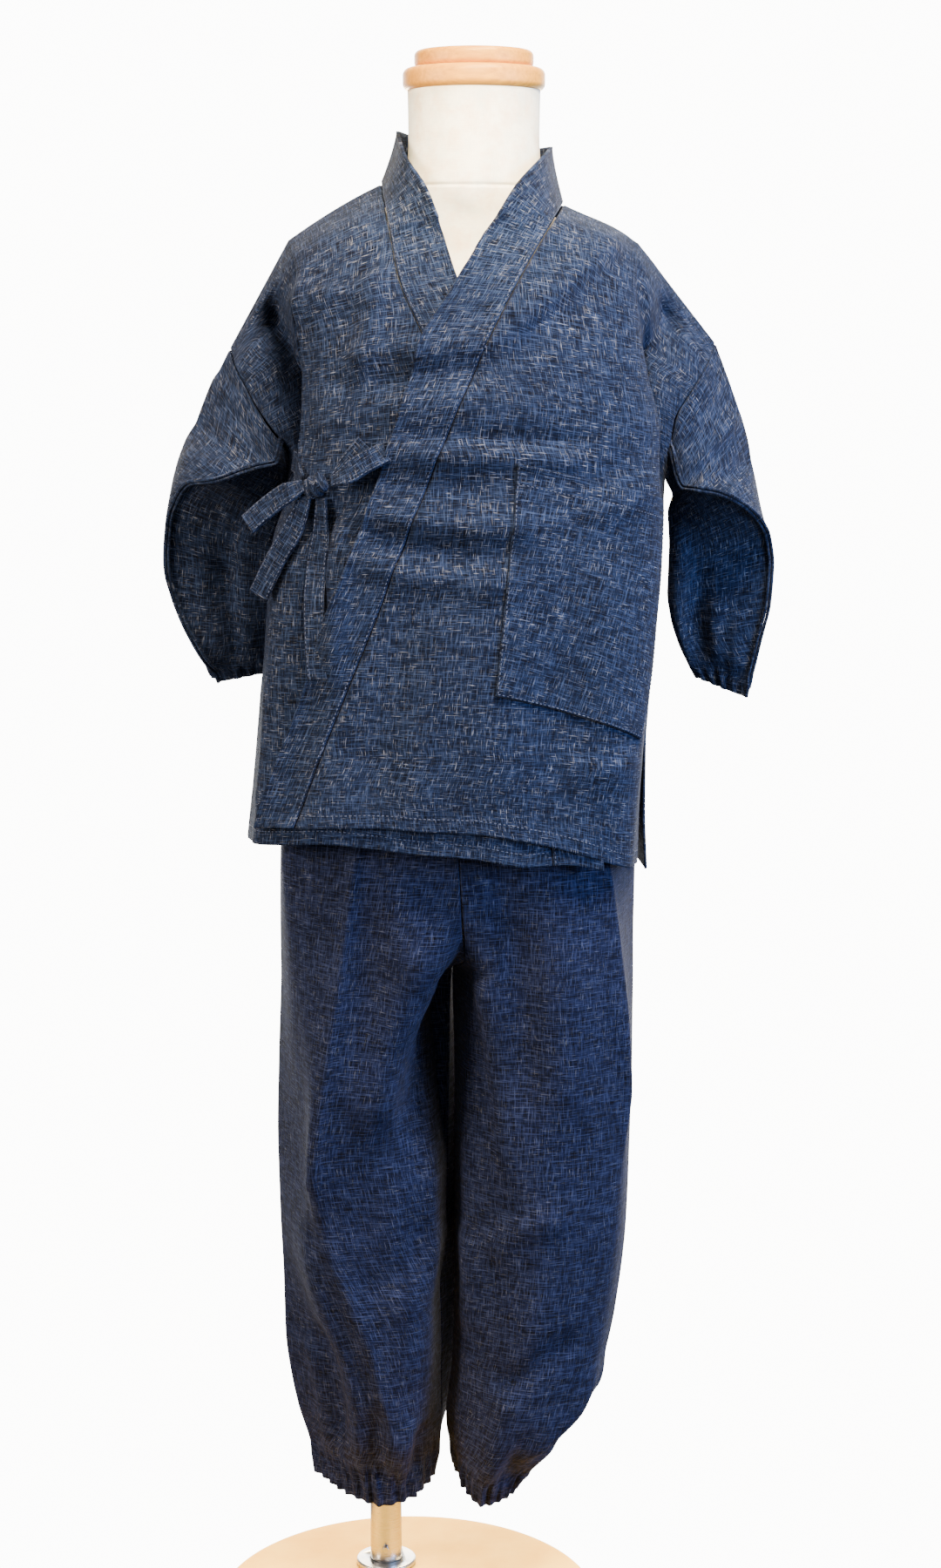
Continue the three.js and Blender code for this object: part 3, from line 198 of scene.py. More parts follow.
TROUSER_BACK_RIGHT = table(LEG_FRONT_COLUMNS, [
    [697.5, -59, 24, -42, 66, -11, 88, 17, 96, 36, 98],
    [655, -86, 36, -72, 96, -27, 112, 10, 116, 40, 116],
    [610, -97, 42, -84, 100, -34, 116, 8, 118, 42, 118],
    [545, -98, 44, -84, 98, -36, 116, 14, 112, 44, 100],
    [515, -98, 46, -84, 98, -36, 116, 39, 97, 35, 24],
    [445, -101, 52, -88, 98, -36, 116, 43, 88, 33, 30],
    [380, -103, 58, -90, 98, -36, 116, 45, 84, 32, 34],
    [318, -102, 60, -90, 98, -36, 115, 45, 84, 31, 36],
    [260, -100, 62, -88, 98, -36, 113, 43, 84, 26, 38],
    [212, -99, 62, -86, 96, -36, 110, 41, 84, 27, 42],
    [150, -90, 62, -76, 92, -32, 104, 32, 80, 24, 46],
    [112, -79, 58, -62, 82, -28, 91, 18, 74, 24, 46],
    [95, -75, 54, -58, 78, -27, 87, 12, 70, 22, 46],
])
TROUSER_FRONT_LEFT = table(LEG_FRONT_COLUMNS, [
    [697.5, 133, 24, 116, -20, 85, -42, 57, -50, 36.4, -52],
    [655, 166, 32, 152, -30, 98, -62, 70, -68, 40.4, -70],
    [610, 177, 32, 149, -48, 104, -66, 76, -72, 42.4, -74],
    [545, 176, 30, 155, -42, 104, -64, 74, -64, 45.4, -52],
    [515, 176, 28, 158, -40, 104, -62, 60, -52, 35.4, 24],
    [445, 175, 24, 169, -20, 106, -54, 46, -14, 37, 30],
    [380, 174, 22, 166, -18, 106, -50, 44, -8, 37, 34],
    [318, 172, 22, 162, -16, 106, -46, 44, -4, 37, 36],
    [260, 166, 22, 154, -14, 102, -44, 44, -2, 37, 38],
    [212, 157, 22, 144, -14, 96, -40, 42, 2, 36, 38],
    [150, 130, 24, 116, -12, 80, -30, 40, 8, 33, 40],
    [112, 102, 34, 88, 4, 62, -12, 42, 12, 35, 40],
    [93, 93, 38, 80, 8, 60, -6, 44, 12, 37, 40],
])
TROUSER_BACK_LEFT = table(LEG_FRONT_COLUMNS, [
    [697.5, 133, 24, 116, 66, 85, 88, 57, 96, 36.4, 98],
    [655, 168, 32, 152, 92, 98, 112, 70, 116, 40.4, 116],
    [610, 177, 32, 164, 92, 104, 116, 76, 118, 42.4, 118],
    [545, 176, 30, 164, 92, 104, 116, 74, 112, 44.4, 100],
    [515, 176, 28, 164, 92, 104, 116, 60, 102, 35.4, 24],
    [445, 175, 24, 162, 92, 104, 116, 50, 88, 37, 30],
    [380, 174, 22, 160, 92, 104, 116, 50, 84, 37, 34],
    [318, 172, 22, 158, 92, 104, 115, 48, 84, 37, 36],
    [260, 166, 22, 152, 90, 102, 113, 48, 84, 37, 38],
    [212, 157, 22, 144, 88, 96, 110, 46, 84, 36, 38],
    [150, 130, 24, 120, 84, 82, 102, 42, 80, 33, 40],
    [112, 102, 34, 92, 74, 66, 84, 44, 72, 35, 40],
    [93, 93, 38, 84, 70, 64, 80, 46, 68, 37, 40],
])

# Dress form torso: centre, half width and half depth of each level section, and the slope of
# the section towards the lower shoulder.
TORSO = table(["z", "x", "y", "halfX", "halfY", "slope"], [
    [560, 34, 24, 88, 60, 0], [566, 34, 24, 96, 68, 0], [600, 34, 24, 101, 76, 0],
    [640, 35, 24, 101, 77, 0], [690, 37, 23, 90, 68, 0], [730, 39, 22, 86, 66, 0],
    [790, 41, 22, 90, 70, 0], [860, 43, 22, 97, 76, 0], [930, 45, 22, 101, 80, 0],
    [985, 47, 24, 106, 76, 0], [1022, 48, 27, 112, 66, 0], [1045, 49, 29, 115, 58, 0],
    [1060, 50, 29, 106, 54, -0.02], [1074, 50.5, 26, 86.5, 51, -0.06],
    [1088, 51, 22, 66.3, 49, -0.08], [1100, 52, 17, 55, 48.5, -0.05],
    [1114, 52.5, 13, 50, 48, 0], [1145, 52.5, 12, 48, 48, 0], [1178, 52.5, 12, 48.5, 48.5, 0],
])
# Ties: centre lines of the straps' outer faces. "laid" points are x, z and the height off the
# front; "free" points are x, y, z. "bunched" is the end (0 or 1) that goes into the knot.
TIES = {
    "tie_strap_lap": dict(facing=(0.25, -0.8, 0.55), bunched=1, free=[
        (-9.6, -90, 921), (-24, -92, 914), (-37, -90, 906), (-50, -82, 899.5)]),
    "tie_strap_side": dict(facing=(-0.95, -0.3, 0.15), bunched=1, free=[
        (-82, -3, 911), (-77.6, -25, 909.5), (-76.2, -43, 904), (-72.4, -57, 898.5)]),
    "tie_loop_right": dict(bunched=0, laid=[
        (-46.5, 900, 2.4), (-38, 909, 2.1), (-31, 917, 2.1), (-24, 925, 2.1)]),
    "tie_loop_left": dict(facing=(-0.3, -0.9, 0.3), bunched=0, free=[
        (-70.1, -70.4, 896), (-83, -67, 890), (-97, -60, 880), (-112, -56, 867)]),
    "tie_tail_short": dict(facing=(-0.4, -0.9, 0.1), bunched=0, free=[
        (-68.4, -69.4, 888.6), (-77.4, -66, 866), (-92, -60, 841), (-105, -53, 815)]),
    "tie_tail_long": dict(bunched=0, laid=[
        (-55, 886.4, 4.6), (-57, 862, 2.2), (-60, 838, 2.4), (-60, 812, 7), (-59, 785, 8.2),
        (-57, 757, 8.2)]),
}
KNOT = dict(x=-61, y=-70.3, z=895.5, half_x=11, half_y=5.5, half_z=8.5, turn=-0.66)
BUNCH = 0.55

# Thicknesses and gaps, the same as the frame's.
CLOTH = 1.5
BAND = 2.4
SEAM_GAP = 0.3
LAP_LIFT = 4.0
BODY_X = 50.0
COLLAR_RISE = 0.9
NECK = dict(x=52.5, y=12.0, top=1178.0)
STRAP = dict(width=17.0, thick=1.6)
WAISTBAND = dict(top=722.0, height=24.0, thick=3.0)

# %% [markdown]
# ## Curves
# The tables are joined by one cubic that never runs past the values it joins. It works on whole
# arrays, so a dense sheet is as quick as a coarse one.

# %% Interpolation
def hermite(a, b, slope_a, slope_b, t):
    """The cubic from a to b with these slopes at its ends."""
    t2, t3 = t * t, t * t * t
    return ((2 * t3 - 3 * t2 + 1) * a + (t3 - 2 * t2 + t) * slope_a
            + (3 * t2 - 2 * t3) * b + (t3 - t2) * slope_b)


def middle_slope(before, after):
    """The slope where two spans meet, and 0 where they turn back."""
    product = before * after
    onward = product > 0
    return np.where(onward, 2 * product / np.where(onward, before + after, 1), 0.0)


def monotone(xs, ys):
    xs, ys = np.asarray(xs, float), np.asarray(ys, float)
    order = 1.0 if xs[-1] > xs[0] else -1.0
    xs = xs * order
    slopes = np.diff(ys, axis=0) / np.diff(xs).reshape((-1,) + (1,) * (ys.ndim - 1))
    tangents = np.concatenate([slopes[:1], middle_slope(slopes[:-1], slopes[1:]), slopes[-1:]])

    def at(x):
        x = np.asarray(x, float) * order
        i = np.clip(np.searchsorted(xs, x, side="right") - 1, 0, len(xs) - 2)
        extra = (...,) + (None,) * (ys.ndim - 1)
        span = (xs[i + 1] - xs[i])[extra]
        t = (x - xs[i])[extra] / span
        return hermite(ys[i], ys[i + 1], span * tangents[i], span * tangents[i + 1], t)

    return at


def smooth_table(rows, key=None):
    names = [name for name in rows if name != key]
    xs = rows[key] if key else np.arange(len(rows[names[0]]))
    curve = monotone(xs, np.stack([rows[name] for name in names], axis=-1))

    def at(t):
        values = curve(t)
        return {name: values[..., i] for i, name in enumerate(names)}

    return at


def smooth_path(points):
    return monotone(np.arange(len(points)), points)


def lerp(a, b, t):
    return a + (b - a) * t


def smoothstep(x, low, high):
    t = np.clip((x - low) / (high - low), 0, 1)
    return t * t * (3 - 2 * t)


def bell(distance, width):
    return np.exp(-(distance / width) ** 2)


def vec(x, y, z):
    return np.stack(np.broadcast_arrays(x, y, z), axis=-1).astype(float)


def point_of(row, name):
    return vec(row[name + "x"], row[name + "y"], row[name + "z"])


def unit(v):
    return v / np.maximum(np.linalg.norm(v, axis=-1, keepdims=True), 1e-9)


def ringed(grid):
    """A closed grid with its first column again at its end."""
    return np.concatenate([grid, grid[:, :1]], axis=1)


def angles(count):
    """Evenly spaced angles, once round."""
    return np.linspace(0, 2 * math.pi, count + 1)[:-1]


def spread(stops, counts):
    """Evenly spaced values between each pair of stops, along the last axis."""
    parts = [np.linspace(a, b, n + 1, axis=-1)[..., i > 0:] for i, (a, b, n) in
             enumerate(zip(stops, stops[1:], counts))]
    return np.concatenate(parts, axis=-1)


def bisect(f, low, high, rounds=30):
    rising = f(high) > f(low)
    for _ in range(rounds):
        middle = (low + high) / 2
        upper = (f(middle) > 0) == rising
        high = np.where(upper, middle, high)
        low = np.where(upper, low, middle)
    return (low + high) / 2

# %% [markdown]
# ## The body of the jacket
# One surface in front and one behind. w runs across (0 at the centre line, 1 at the drape fold,
# 2 in the tuck behind it, 3 at the seam; negative on the wearer's right) and v runs down the
# rows of the tables.

# %% Jacket surface
FRONT_SQUARENESS = 2.3
SHOULDER_FALL = 1.6
HEM_FROM = 8
ARMPIT = 5
VENT_ROW = 9.4
SEAM_W = 3.0
BACK_NECK_DIP = 1.2
LAP_LIFT_FROM, LAP_LIFT_OVER = 135.0, 70.0
LAST = len(FRONT_RIGHT["cy"]) - 1


def half_body(rows):
    at = smooth_table(rows)

    def surface(w, v):
        row = at(v)
        fold, edge = point_of(row, "f"), point_of(row, "e")
        tuck = (fold + edge) / 2
        tuck[..., 0] += np.sign(BODY_X - row["fx"]) * row["dent"]
        s = np.sin(np.clip(w, 0, 1) * math.pi / 2)
        bulge = np.maximum(1 - s ** FRONT_SQUARENESS, 0) ** (1 / FRONT_SQUARENESS)
        near = vec(lerp(BODY_X, row["fx"], s), lerp(row["fy"], row["cy"], bulge),
                   lerp(row["cz"], row["fz"], s ** SHOULDER_FALL))
        to_tuck, to_edge = tuck - fold, edge - tuck
        at_tuck = middle_slope(to_tuck, to_edge)
        k = np.clip(w - 1, 0, 2)[..., None]
        far = np.where(k < 1, hermite(fold, tuck, to_tuck, at_tuck, k),
                       hermite(tuck, edge, at_tuck, to_edge, k - 1))
        return np.where((w > 1)[..., None], far, near)

    return surface


def body_surface(right_rows, left_rows):
    right, left = half_body(right_rows), half_body(left_rows)

    def surface(w, v):
        w, v = np.broadcast_arrays(np.asarray(w, float), np.asarray(v, float))
        return np.where((w < 0)[..., None], right(-w, v), left(w, v))

    return surface


front_surface = body_surface(FRONT_RIGHT, FRONT_LEFT)
back_surface = body_surface(BACK_RIGHT, BACK_LEFT)
lap_lines = smooth_table(LAP_LINES, "z")
under_lines = smooth_table(UNDER_LINES, "z")
hem_shift = smooth_table(HEM_SHIFT, "x")


def front_normal(w, v, step=0.02):
    across = (front_surface(np.minimum(w + step, SEAM_W), v)
              - front_surface(np.maximum(w - step, -SEAM_W), v))
    down = front_surface(w, np.minimum(v + step, LAST)) - front_surface(w, np.maximum(v - step, 0))
    return unit(np.cross(down, across))


def front_point(w, v, piece, offset=0.0):
    """A point of the "lap" or "under" front, moved out by an offset."""
    w, v = np.broadcast_arrays(np.asarray(w, float), np.asarray(v, float))
    base = front_surface(w, v)
    lift = LAP_LIFT * smoothstep(LAP_LIFT_FROM - base[..., 0], 0, LAP_LIFT_OVER)
    under = LAP_LIFT if piece == "under" else 0.0
    p = base + front_normal(w, v) * (lift - under + offset)[..., None]
    p[..., 2] += hem_shift(base[..., 0])[piece] * smoothstep(v, HEM_FROM, LAST)
    return p


def w_where(miss, v):
    """The w between the drape folds, on each level, where the miss of its point is 0."""
    v = np.asarray(v, float)
    return bisect(lambda w: miss(front_surface(w, v)),
                  np.full(v.shape, -1.0), np.full(v.shape, 1.0))


def crossing(lines, name, v):
    return w_where(lambda p: p[..., 0] - lines(p[..., 2])[name], v)


neck_right = float(crossing(under_lines, "seam", 0.0))
neck_left = float(crossing(lap_lines, "seam", 0.0))


def neckline(w):
    share = np.where(w < 0, w / neck_right, w / neck_left)
    return BACK_NECK_DIP * np.maximum(0, 1 - share * share)


def back_point(w, v, near=0.01):
    """A point of the back. Its side seams are those of the fronts."""
    at_seam = (np.abs(w) > SEAM_W - near) & (v > ARMPIT - near) & (v < VENT_ROW)
    p = np.where(at_seam[..., None], front_surface(w, v), back_surface(w, v))
    p[..., 1] += SEAM_GAP
    return p

# %% [markdown]
# ## Sheets into meshes
# A sheet is a grid of outer points. Its shell has that sheet, the same sheet moved in by the
# thickness of the cloth, and rims. The UV map holds millimetres along the weft and the warp, so
# the weave has its real scale and follows the grain of each piece.

# %% Shells
def grid_normals(grid, closed):
    """Outward normals of a grid whose rows run down and whose columns run left to right."""
    if closed:
        ring = np.concatenate([grid[:, -1:], grid, grid[:, :1]], axis=1)
        across = ring[:, 2:] - ring[:, :-2]
    else:
        across = np.gradient(grid, axis=1)
    return unit(np.cross(np.gradient(grid, axis=0), across))


def lengths(grid, axis):
    steps = np.linalg.norm(np.diff(grid, axis=axis), axis=-1)
    start = np.zeros_like(np.take(steps, [0], axis=axis))
    return np.concatenate([start, np.cumsum(steps, axis=axis)], axis=axis)


def grid_uv(grid, closed):
    """Millimetres across and down for every point; a closed ring has one column more."""
    if closed:
        grid = ringed(grid)
    u = lengths(grid, 1)
    middle = u.shape[1] // 2
    v = -lengths(grid, 0).mean(axis=1, keepdims=True)
    return np.stack([u - u[:, middle:middle + 1], v + 0 * u], axis=-1)


def add_mesh(name, points, faces, corners=None):
    """A new piece from points in millimetres, its faces, and a UV pair for each corner."""
    mesh = bpy.data.meshes.new(name)
    mesh.from_pydata((points * MM).tolist(), [], faces)
    if corners is not None:
        layer = mesh.uv_layers.new(name="cloth")
        layer.data.foreach_set("uv", np.asarray(corners, np.float32).ravel())
    mesh.shade_smooth()
    piece = bpy.data.objects.new(name, mesh)
    bpy.context.scene.collection.objects.link(piece)
    print(f"{name}: {len(faces)} faces")
    return piece


def quads(index, uv):
    """The faces of a grid of point numbers, and their UVs."""
    faces, corners = (
        np.stack([g[:-1, :-1], g[1:, :-1], g[1:, 1:], g[:-1, 1:]], axis=2) for g in (index, uv))
    return faces.reshape(-1, 4), corners.reshape(-1, 4, 2)


def shell(name, grid, thickness, closed=False):
    """A closed wall from a grid of outer points, with the cloth's thickness."""
    rows, cols = grid.shape[:2]
    inner = grid - grid_normals(grid, closed) * thickness
    count = rows * cols
    index = np.arange(count).reshape(rows, cols)
    if closed:
        index = ringed(index)
    uv = grid_uv(grid, closed)
    parts = [quads(index, uv), quads(index[:, ::-1] + count, uv[:, ::-1])]
    strips = [(index[0], uv[0]), (index[-1, ::-1], uv[-1, ::-1])]
    if not closed:
        strips += [(index[::-1, 0], uv[::-1, 0]), (index[:, -1], uv[:, -1])]
    for line, line_uv in strips:
        parts.append(quads(np.stack([line + count, line]), np.stack([line_uv, line_uv])))
    faces, corners = (np.concatenate(one) for one in zip(*parts))
    points = np.concatenate([grid.reshape(-1, 3), inner.reshape(-1, 3)])
    return add_mesh(name, points, faces.tolist(), corners)


def solid(name, rings):
    """A closed body through rings of points, with its two ends drawn in to their middles."""
    rows, cols = rings.shape[:2]
    count = rows * cols
    index, uv = ringed(np.arange(count).reshape(rows, cols)), grid_uv(rings, True)
    faces, corners = quads(index, uv)
    faces, corners = faces.tolist(), corners.reshape(-1, 2).tolist()
    ends = (index[0, ::-1], count, uv[0, ::-1]), (index[-1], count + 1, uv[-1])
    for ring, tip, line_uv in ends:
        for k in range(cols):
            faces.append([tip, int(ring[k + 1]), int(ring[k])])
            corners += [line_uv[k].tolist(), line_uv[k + 1].tolist(), line_uv[k].tolist()]
    tips = np.stack([rings[0].mean(axis=0), rings[-1].mean(axis=0)])
    return add_mesh(name, np.concatenate([rings.reshape(-1, 3), tips]), faces, corners)


def sheet_area(grid, closed):
    if closed:
        grid = ringed(grid)
    a = np.cross(grid[1:, :-1] - grid[:-1, :-1], grid[:-1, 1:] - grid[:-1, :-1])
    b = np.cross(grid[1:, 1:] - grid[1:, :-1], grid[1:, 1:] - grid[:-1, 1:])
    return float((np.linalg.norm(a, axis=-1) + np.linalg.norm(b, axis=-1)).sum() / 2) * MM * MM

# %% [markdown]
# ## Jacket
# The two crossed fronts, the back and the folded collar band that edges them.

# %% Jacket sheets
BODY_LEVELS = spread([0, 3, ARMPIT, VENT_ROW, LAST], [44, 28, 62, 36])
FRONT_ACROSS = [52, 16, 20]
BACK_ACROSS = [44, 12, 16]
# The slot behind the drape fold: its middle and width in w, how far it is drawn to the side and
# back, where it starts past the fold, and the rows over which it opens and closes.
TUCK = dict(at=2.05, wide=0.36, sideways=4.0, starts=(1.0, 1.4), opens=(0.3, 1.3),
            closes=(ARMPIT - 0.6, ARMPIT + 1.2))
TUCK_BACK = dict(under=32.0, lap=18.0)


def front_grid(piece, lines, side):
    start = crossing(lines, "seam", BODY_LEVELS)
    w = spread([start] + [np.full_like(start, k * side) for k in (1, 2, 3)], FRONT_ACROSS)
    if side < 0:
        w = w[:, ::-1]
    v, out = BODY_LEVELS[:, None], np.abs(w)
    grid = front_point(w, v, piece)
    slot = (bell(out - TUCK["at"], TUCK["wide"]) * smoothstep(out, *TUCK["starts"])
            * smoothstep(v, *TUCK["opens"]) * (1 - smoothstep(v, *TUCK["closes"])))
    grid[..., 0] -= side * TUCK["sideways"] * slot
    grid[..., 1] += TUCK_BACK[piece] * slot
    return grid


def back_grid():
    half = spread([0, 1, 2, 3], BACK_ACROSS)
    w = np.concatenate([half[::-1], -half[1:]])[None, :]
    return back_point(w, lerp(neckline(w), LAST, BODY_LEVELS[:, None] / LAST))


# The collar stands up beside the neck and lies flat on the fronts from row FLAT_FROM down.
COLLAR_WIDTH = 40.0
COLLAR_LEAN = 14.0
COLLAR_FOOT_RISE = 0.2
COLLAR_EDGE_RISE = 3.2
UPRIGHT_TO, FLAT_FROM = 1.5, 2.0
COLLAR_SHARES = np.linspace(0, 1, 15)
NECK_END_W, NECK_ROWS = 2 / 7, 30


def collar_on_front(piece, lines, neck_edge):
    v = BODY_LEVELS
    seam_w, edge_w = crossing(lines, "seam", v), crossing(lines, "edge", v)
    seam = front_point(seam_w, v, piece, COLLAR_RISE)
    flat_edge = front_point(edge_w, v, piece, COLLAR_RISE)
    upright = point_of(smooth_table(neck_edge, "v")(np.minimum(v, UPRIGHT_TO)), "")
    blend = smoothstep(v, UPRIGHT_TO, FLAT_FROM)[:, None]
    edge = lerp(upright, flat_edge, blend)
    start = seam + unit(edge - seam) * SEAM_GAP
    t = COLLAR_SHARES
    straight = lerp(start[:, None], edge[:, None], t[None, :, None])
    flat_w = lerp(seam_w[:, None], edge_w[:, None], t)
    on_flat = front_point(flat_w, v[:, None], piece, COLLAR_RISE)
    inside = ((t > 0) & (t < 1))[None, :, None]
    return lerp(straight, on_flat, np.where(inside, blend[:, None], 0.0))


def collar_behind_neck():
    w = np.linspace(NECK_END_W, -NECK_END_W, NECK_ROWS)
    seam = back_point(w, neckline(w))
    inward = unit(vec(NECK["x"] - seam[:, 0], NECK["y"] - seam[:, 1], 0.0)) * COLLAR_LEAN
    edge = seam + inward + [0, 0, math.sqrt(COLLAR_WIDTH ** 2 - COLLAR_LEAN ** 2)]
    foot = seam + [0, 0, SEAM_GAP + COLLAR_FOOT_RISE]
    return lerp(foot[:, None], edge[:, None], COLLAR_SHARES[None, :, None])

# %% [markdown]
# ## Pocket and ties

# %% Pocket and tie sheets
POCKET = dict(top=[(0.15, 5.62), (1.25, 6.05)], bottom=[(0.085, 8.92), (0.82, 9.6)])
POCKET_STAND = 1.3
POCKET_ROWS, POCKET_COLUMNS = 61, 55
STRAP_STEPS, STRAP_COLUMNS = 14, 9
BUNCHED_OVER = 1 / 3


def pocket_grid():
    down = np.linspace(0, 1, POCKET_ROWS)[:, None, None]
    across = np.linspace(0, 1, POCKET_COLUMNS)[None, :, None]
    top, bottom = (lerp(*np.array(POCKET[edge]), across) for edge in ("top", "bottom"))
    w, v = np.moveaxis(lerp(top, bottom, down), -1, 0)
    return front_point(w, v, "lap", CLOTH + POCKET_STAND)


def on_front(x, z, stand):
    """The point of the lower front at this x and z, moved out, and its normal."""
    def w_at(v):
        return w_where(lambda p: p[..., 0] - x, v)

    v = bisect(lambda level: front_surface(w_at(level), level)[..., 2] - z,
               np.float64(1.0), np.float64(LAST))
    return front_point(w_at(v), v, "under", stand), front_normal(w_at(v), v)


def strap_grid(tie, step=0.05):
    if "free" in tie:
        centres = np.array(tie["free"], float)
        facings = np.tile(np.array(tie["facing"], float), (len(centres), 1))
    else:
        centres, facings = map(np.array, zip(*(on_front(*point) for point in tie["laid"])))
    path, turned = smooth_path(centres), smooth_path(facings)
    last = len(centres) - 1
    t = np.linspace(0, 1, last * STRAP_STEPS + 1)
    k = t * last
    ahead = path(np.minimum(k + step, last)) - path(np.maximum(k - step, 0))
    full = np.minimum(1, np.abs(t - tie["bunched"]) / BUNCHED_OVER)
    half = STRAP["width"] / 2 * lerp(BUNCH, 1, full)
    across = unit(np.cross(turned(k), ahead)) * half[:, None]
    sides = np.linspace(-1, 1, STRAP_COLUMNS)
    return path(k)[:, None] + across[:, None] * sides[None, :, None]

# %% [markdown]
# ## Sleeves
# A sleeve is a tube whose columns run over the upper face, down the lower face to the armpit,
# and round behind.

# %% Sleeve sheets
ARMPIT_GAP = 0.3
ARMHOLE_LEVELS = np.array([0, 0.35, 0.75, 1.2, 1.7, 2.3, 3, 3.7, 4.4, 5.0])
JUST_INSIDE = 0.03
ARMPIT_UPWARD = (0.5, 0, 1.0)
UPPER, LOWER, BEHIND = 26, 18, 44
UPPER_SHARES = np.linspace(0, 1, UPPER + 1)[:-1]
LOWER_SHARES = np.linspace(0, 1, LOWER + 1)
BEHIND_SHARES = np.linspace(0, 1, BEHIND + 1)[1:-1]
SLEEVE_BULGE = (0.4, -0.8, 0.4)
UPPER_SWELL, LOWER_SWELL, BEHIND_FULLNESS = 0.08, -1.5, 0.6
CUFF_FROM, CUFF_FULL = 0.86, 0.95
SLEEVE_ROWS = [70, 16]
SLEEVE_GATHERS = 16
GATHER_DEPTH = 1.9
GATHER_UNEVEN = [(0.4, 29), (0.3, 53)]
# The wearer's right sleeve hangs nearer the body, below the armpit at once and then a bit more.
SLEEVE_CLOSER = 9.0
CLOSER_COLUMNS = 16.0
CLOSER_ROWS = [(0.95, 0, 0.09), (0.05, 0.2, 0.4)]


def gather_wave(share, gathers):
    """Waves round a gathered end, uneven in height, and none where the share is 0 or 1."""
    height = 1 + sum(size * np.sin(share * turns) for size, turns in GATHER_UNEVEN)
    return np.sin(share * gathers * 2 * math.pi) * height


def armhole(side):
    """The points round an armhole, the way out from each, and the seam's gap there."""
    piece = "lap" if side > 0 else "under"

    def front(w, v):
        return front_point(w, v, piece)

    def point(surface, v):
        p = surface(np.full(v.shape, SEAM_W * side), v)
        return p, unit(p - surface(np.full(v.shape, (SEAM_W - JUST_INSIDE) * side), v))

    def levels(shares, rows):
        return np.interp(shares, np.linspace(0, 1, len(rows)), rows)

    upper, upper_out = point(front, levels(UPPER_SHARES, ARMHOLE_LEVELS[:-1]))
    ends, ends_out = point(front, np.array([ARMHOLE_LEVELS[-2], ARMPIT]))
    ends_out[1] = unit(np.array(ARMPIT_UPWARD) * [side, 1, 1])
    lower = lerp(ends[:1], ends[1:], LOWER_SHARES[:, None])
    lower_out = unit(lerp(ends_out[:1], ends_out[1:], LOWER_SHARES[:, None]))
    behind, behind_out = point(back_point, levels(BEHIND_SHARES, ARMHOLE_LEVELS[::-1]))
    points = np.concatenate([upper, lower, behind])
    from_armpit = np.abs(np.arange(len(points)) - (UPPER + LOWER))
    return (points, np.concatenate([upper_out, lower_out, behind_out]),
            np.where(from_armpit < LOWER, ARMPIT_GAP, SEAM_GAP))


def sleeve_section(rows):
    outer, welt_seam, inner, back = (point_of(rows, name) for name in "owib")
    side = np.sign(outer[:, 0] - inner[:, 0])
    bulge = vec(side * SLEEVE_BULGE[0], *SLEEVE_BULGE[1:])[:, None]
    reach = (back - (inner + outer) / 2)[:, None]

    def face(a, b, t, height):
        t = t[None, :, None]
        return lerp(a[:, None], b[:, None], t) + bulge * (4 * height * t * (1 - t))

    swell = (UPPER_SWELL * np.linalg.norm(outer - welt_seam, axis=-1))[:, None, None]
    t = BEHIND_SHARES[None, :, None]
    behind = lerp(inner[:, None], outer[:, None], t) + reach * (4 * t * (1 - t)) ** BEHIND_FULLNESS
    return np.concatenate([face(outer, welt_seam, UPPER_SHARES, swell),
                           face(welt_seam, inner, LOWER_SHARES, LOWER_SWELL), behind], axis=1)


def outward_level(grid, centre):
    return unit((grid - centre) * [1, 1, 0])


def sleeve_grid(rows, side):
    start, outward, gap = armhole(side)
    stations = np.concatenate([start[None], sleeve_section(rows)])
    t = spread([0, CUFF_FROM, 1], SLEEVE_ROWS)
    grid = smooth_path(stations)(t * (len(stations) - 1))
    grid[0] += outward * gap[:, None]
    round_length = np.linalg.norm(np.diff(ringed(grid), axis=1), axis=-1)
    share = np.cumsum(round_length, axis=1) / round_length.sum(axis=1, keepdims=True)
    depth = GATHER_DEPTH * smoothstep(t, CUFF_FROM, CUFF_FULL)[:, None]
    away = outward_level(grid, grid.mean(axis=1, keepdims=True))
    grid = grid + away * (gather_wave(share, SLEEVE_GATHERS) * depth)[..., None]
    if side < 0:
        inner = bell(np.arange(grid.shape[1]) - UPPER - LOWER, CLOSER_COLUMNS)
        down = sum(part * smoothstep(t, low, high) for part, low, high in CLOSER_ROWS)
        grid[..., 0] += SLEEVE_CLOSER * down[:, None] * inner
    return grid[:, ::-1] if side > 0 else grid

# %% [markdown]
# ## Trousers

# %% Trouser sheets
CROTCH = 4
LEG_LAST = len(TROUSER_FRONT_RIGHT["z"]) - 1
LEG_CUFF_FROM = 10.6
LEG_CUFF_PULL = (LEG_CUFF_FROM - 0.2, LEG_CUFF_FROM + 0.8)
INSIDE_SEAM_FROM = CROTCH - 0.9
TROUSER_GATHERS = 28
HEM_RISE = dict(right=dict(side=9, inner=14), left=dict(side=6, inner=22))
HEM_RISE_SHARES = [("side", 1), ("side", 0.35), ("side", 0), ("inner", 0.4), ("inner", 1)]
HEM_RISE_ROWS = 3
LEG_LEVELS = spread([0, CROTCH, LEG_CUFF_FROM, LEG_LAST], [48, 112, 26])
LEG_ACROSS = 88
# Above the cuffs the legs come nearer to each other, round this height.
LEGS_CLOSER, CLOSER_AT, CLOSER_HIGH, CLOSER_SHARE = 3.0, 148.0, 34.0, 1 / 6
WAIST_ROWS, WAIST_ROUND = 9, 160
WAIST_WAVE, WAIST_WAVES = 0.3, 40


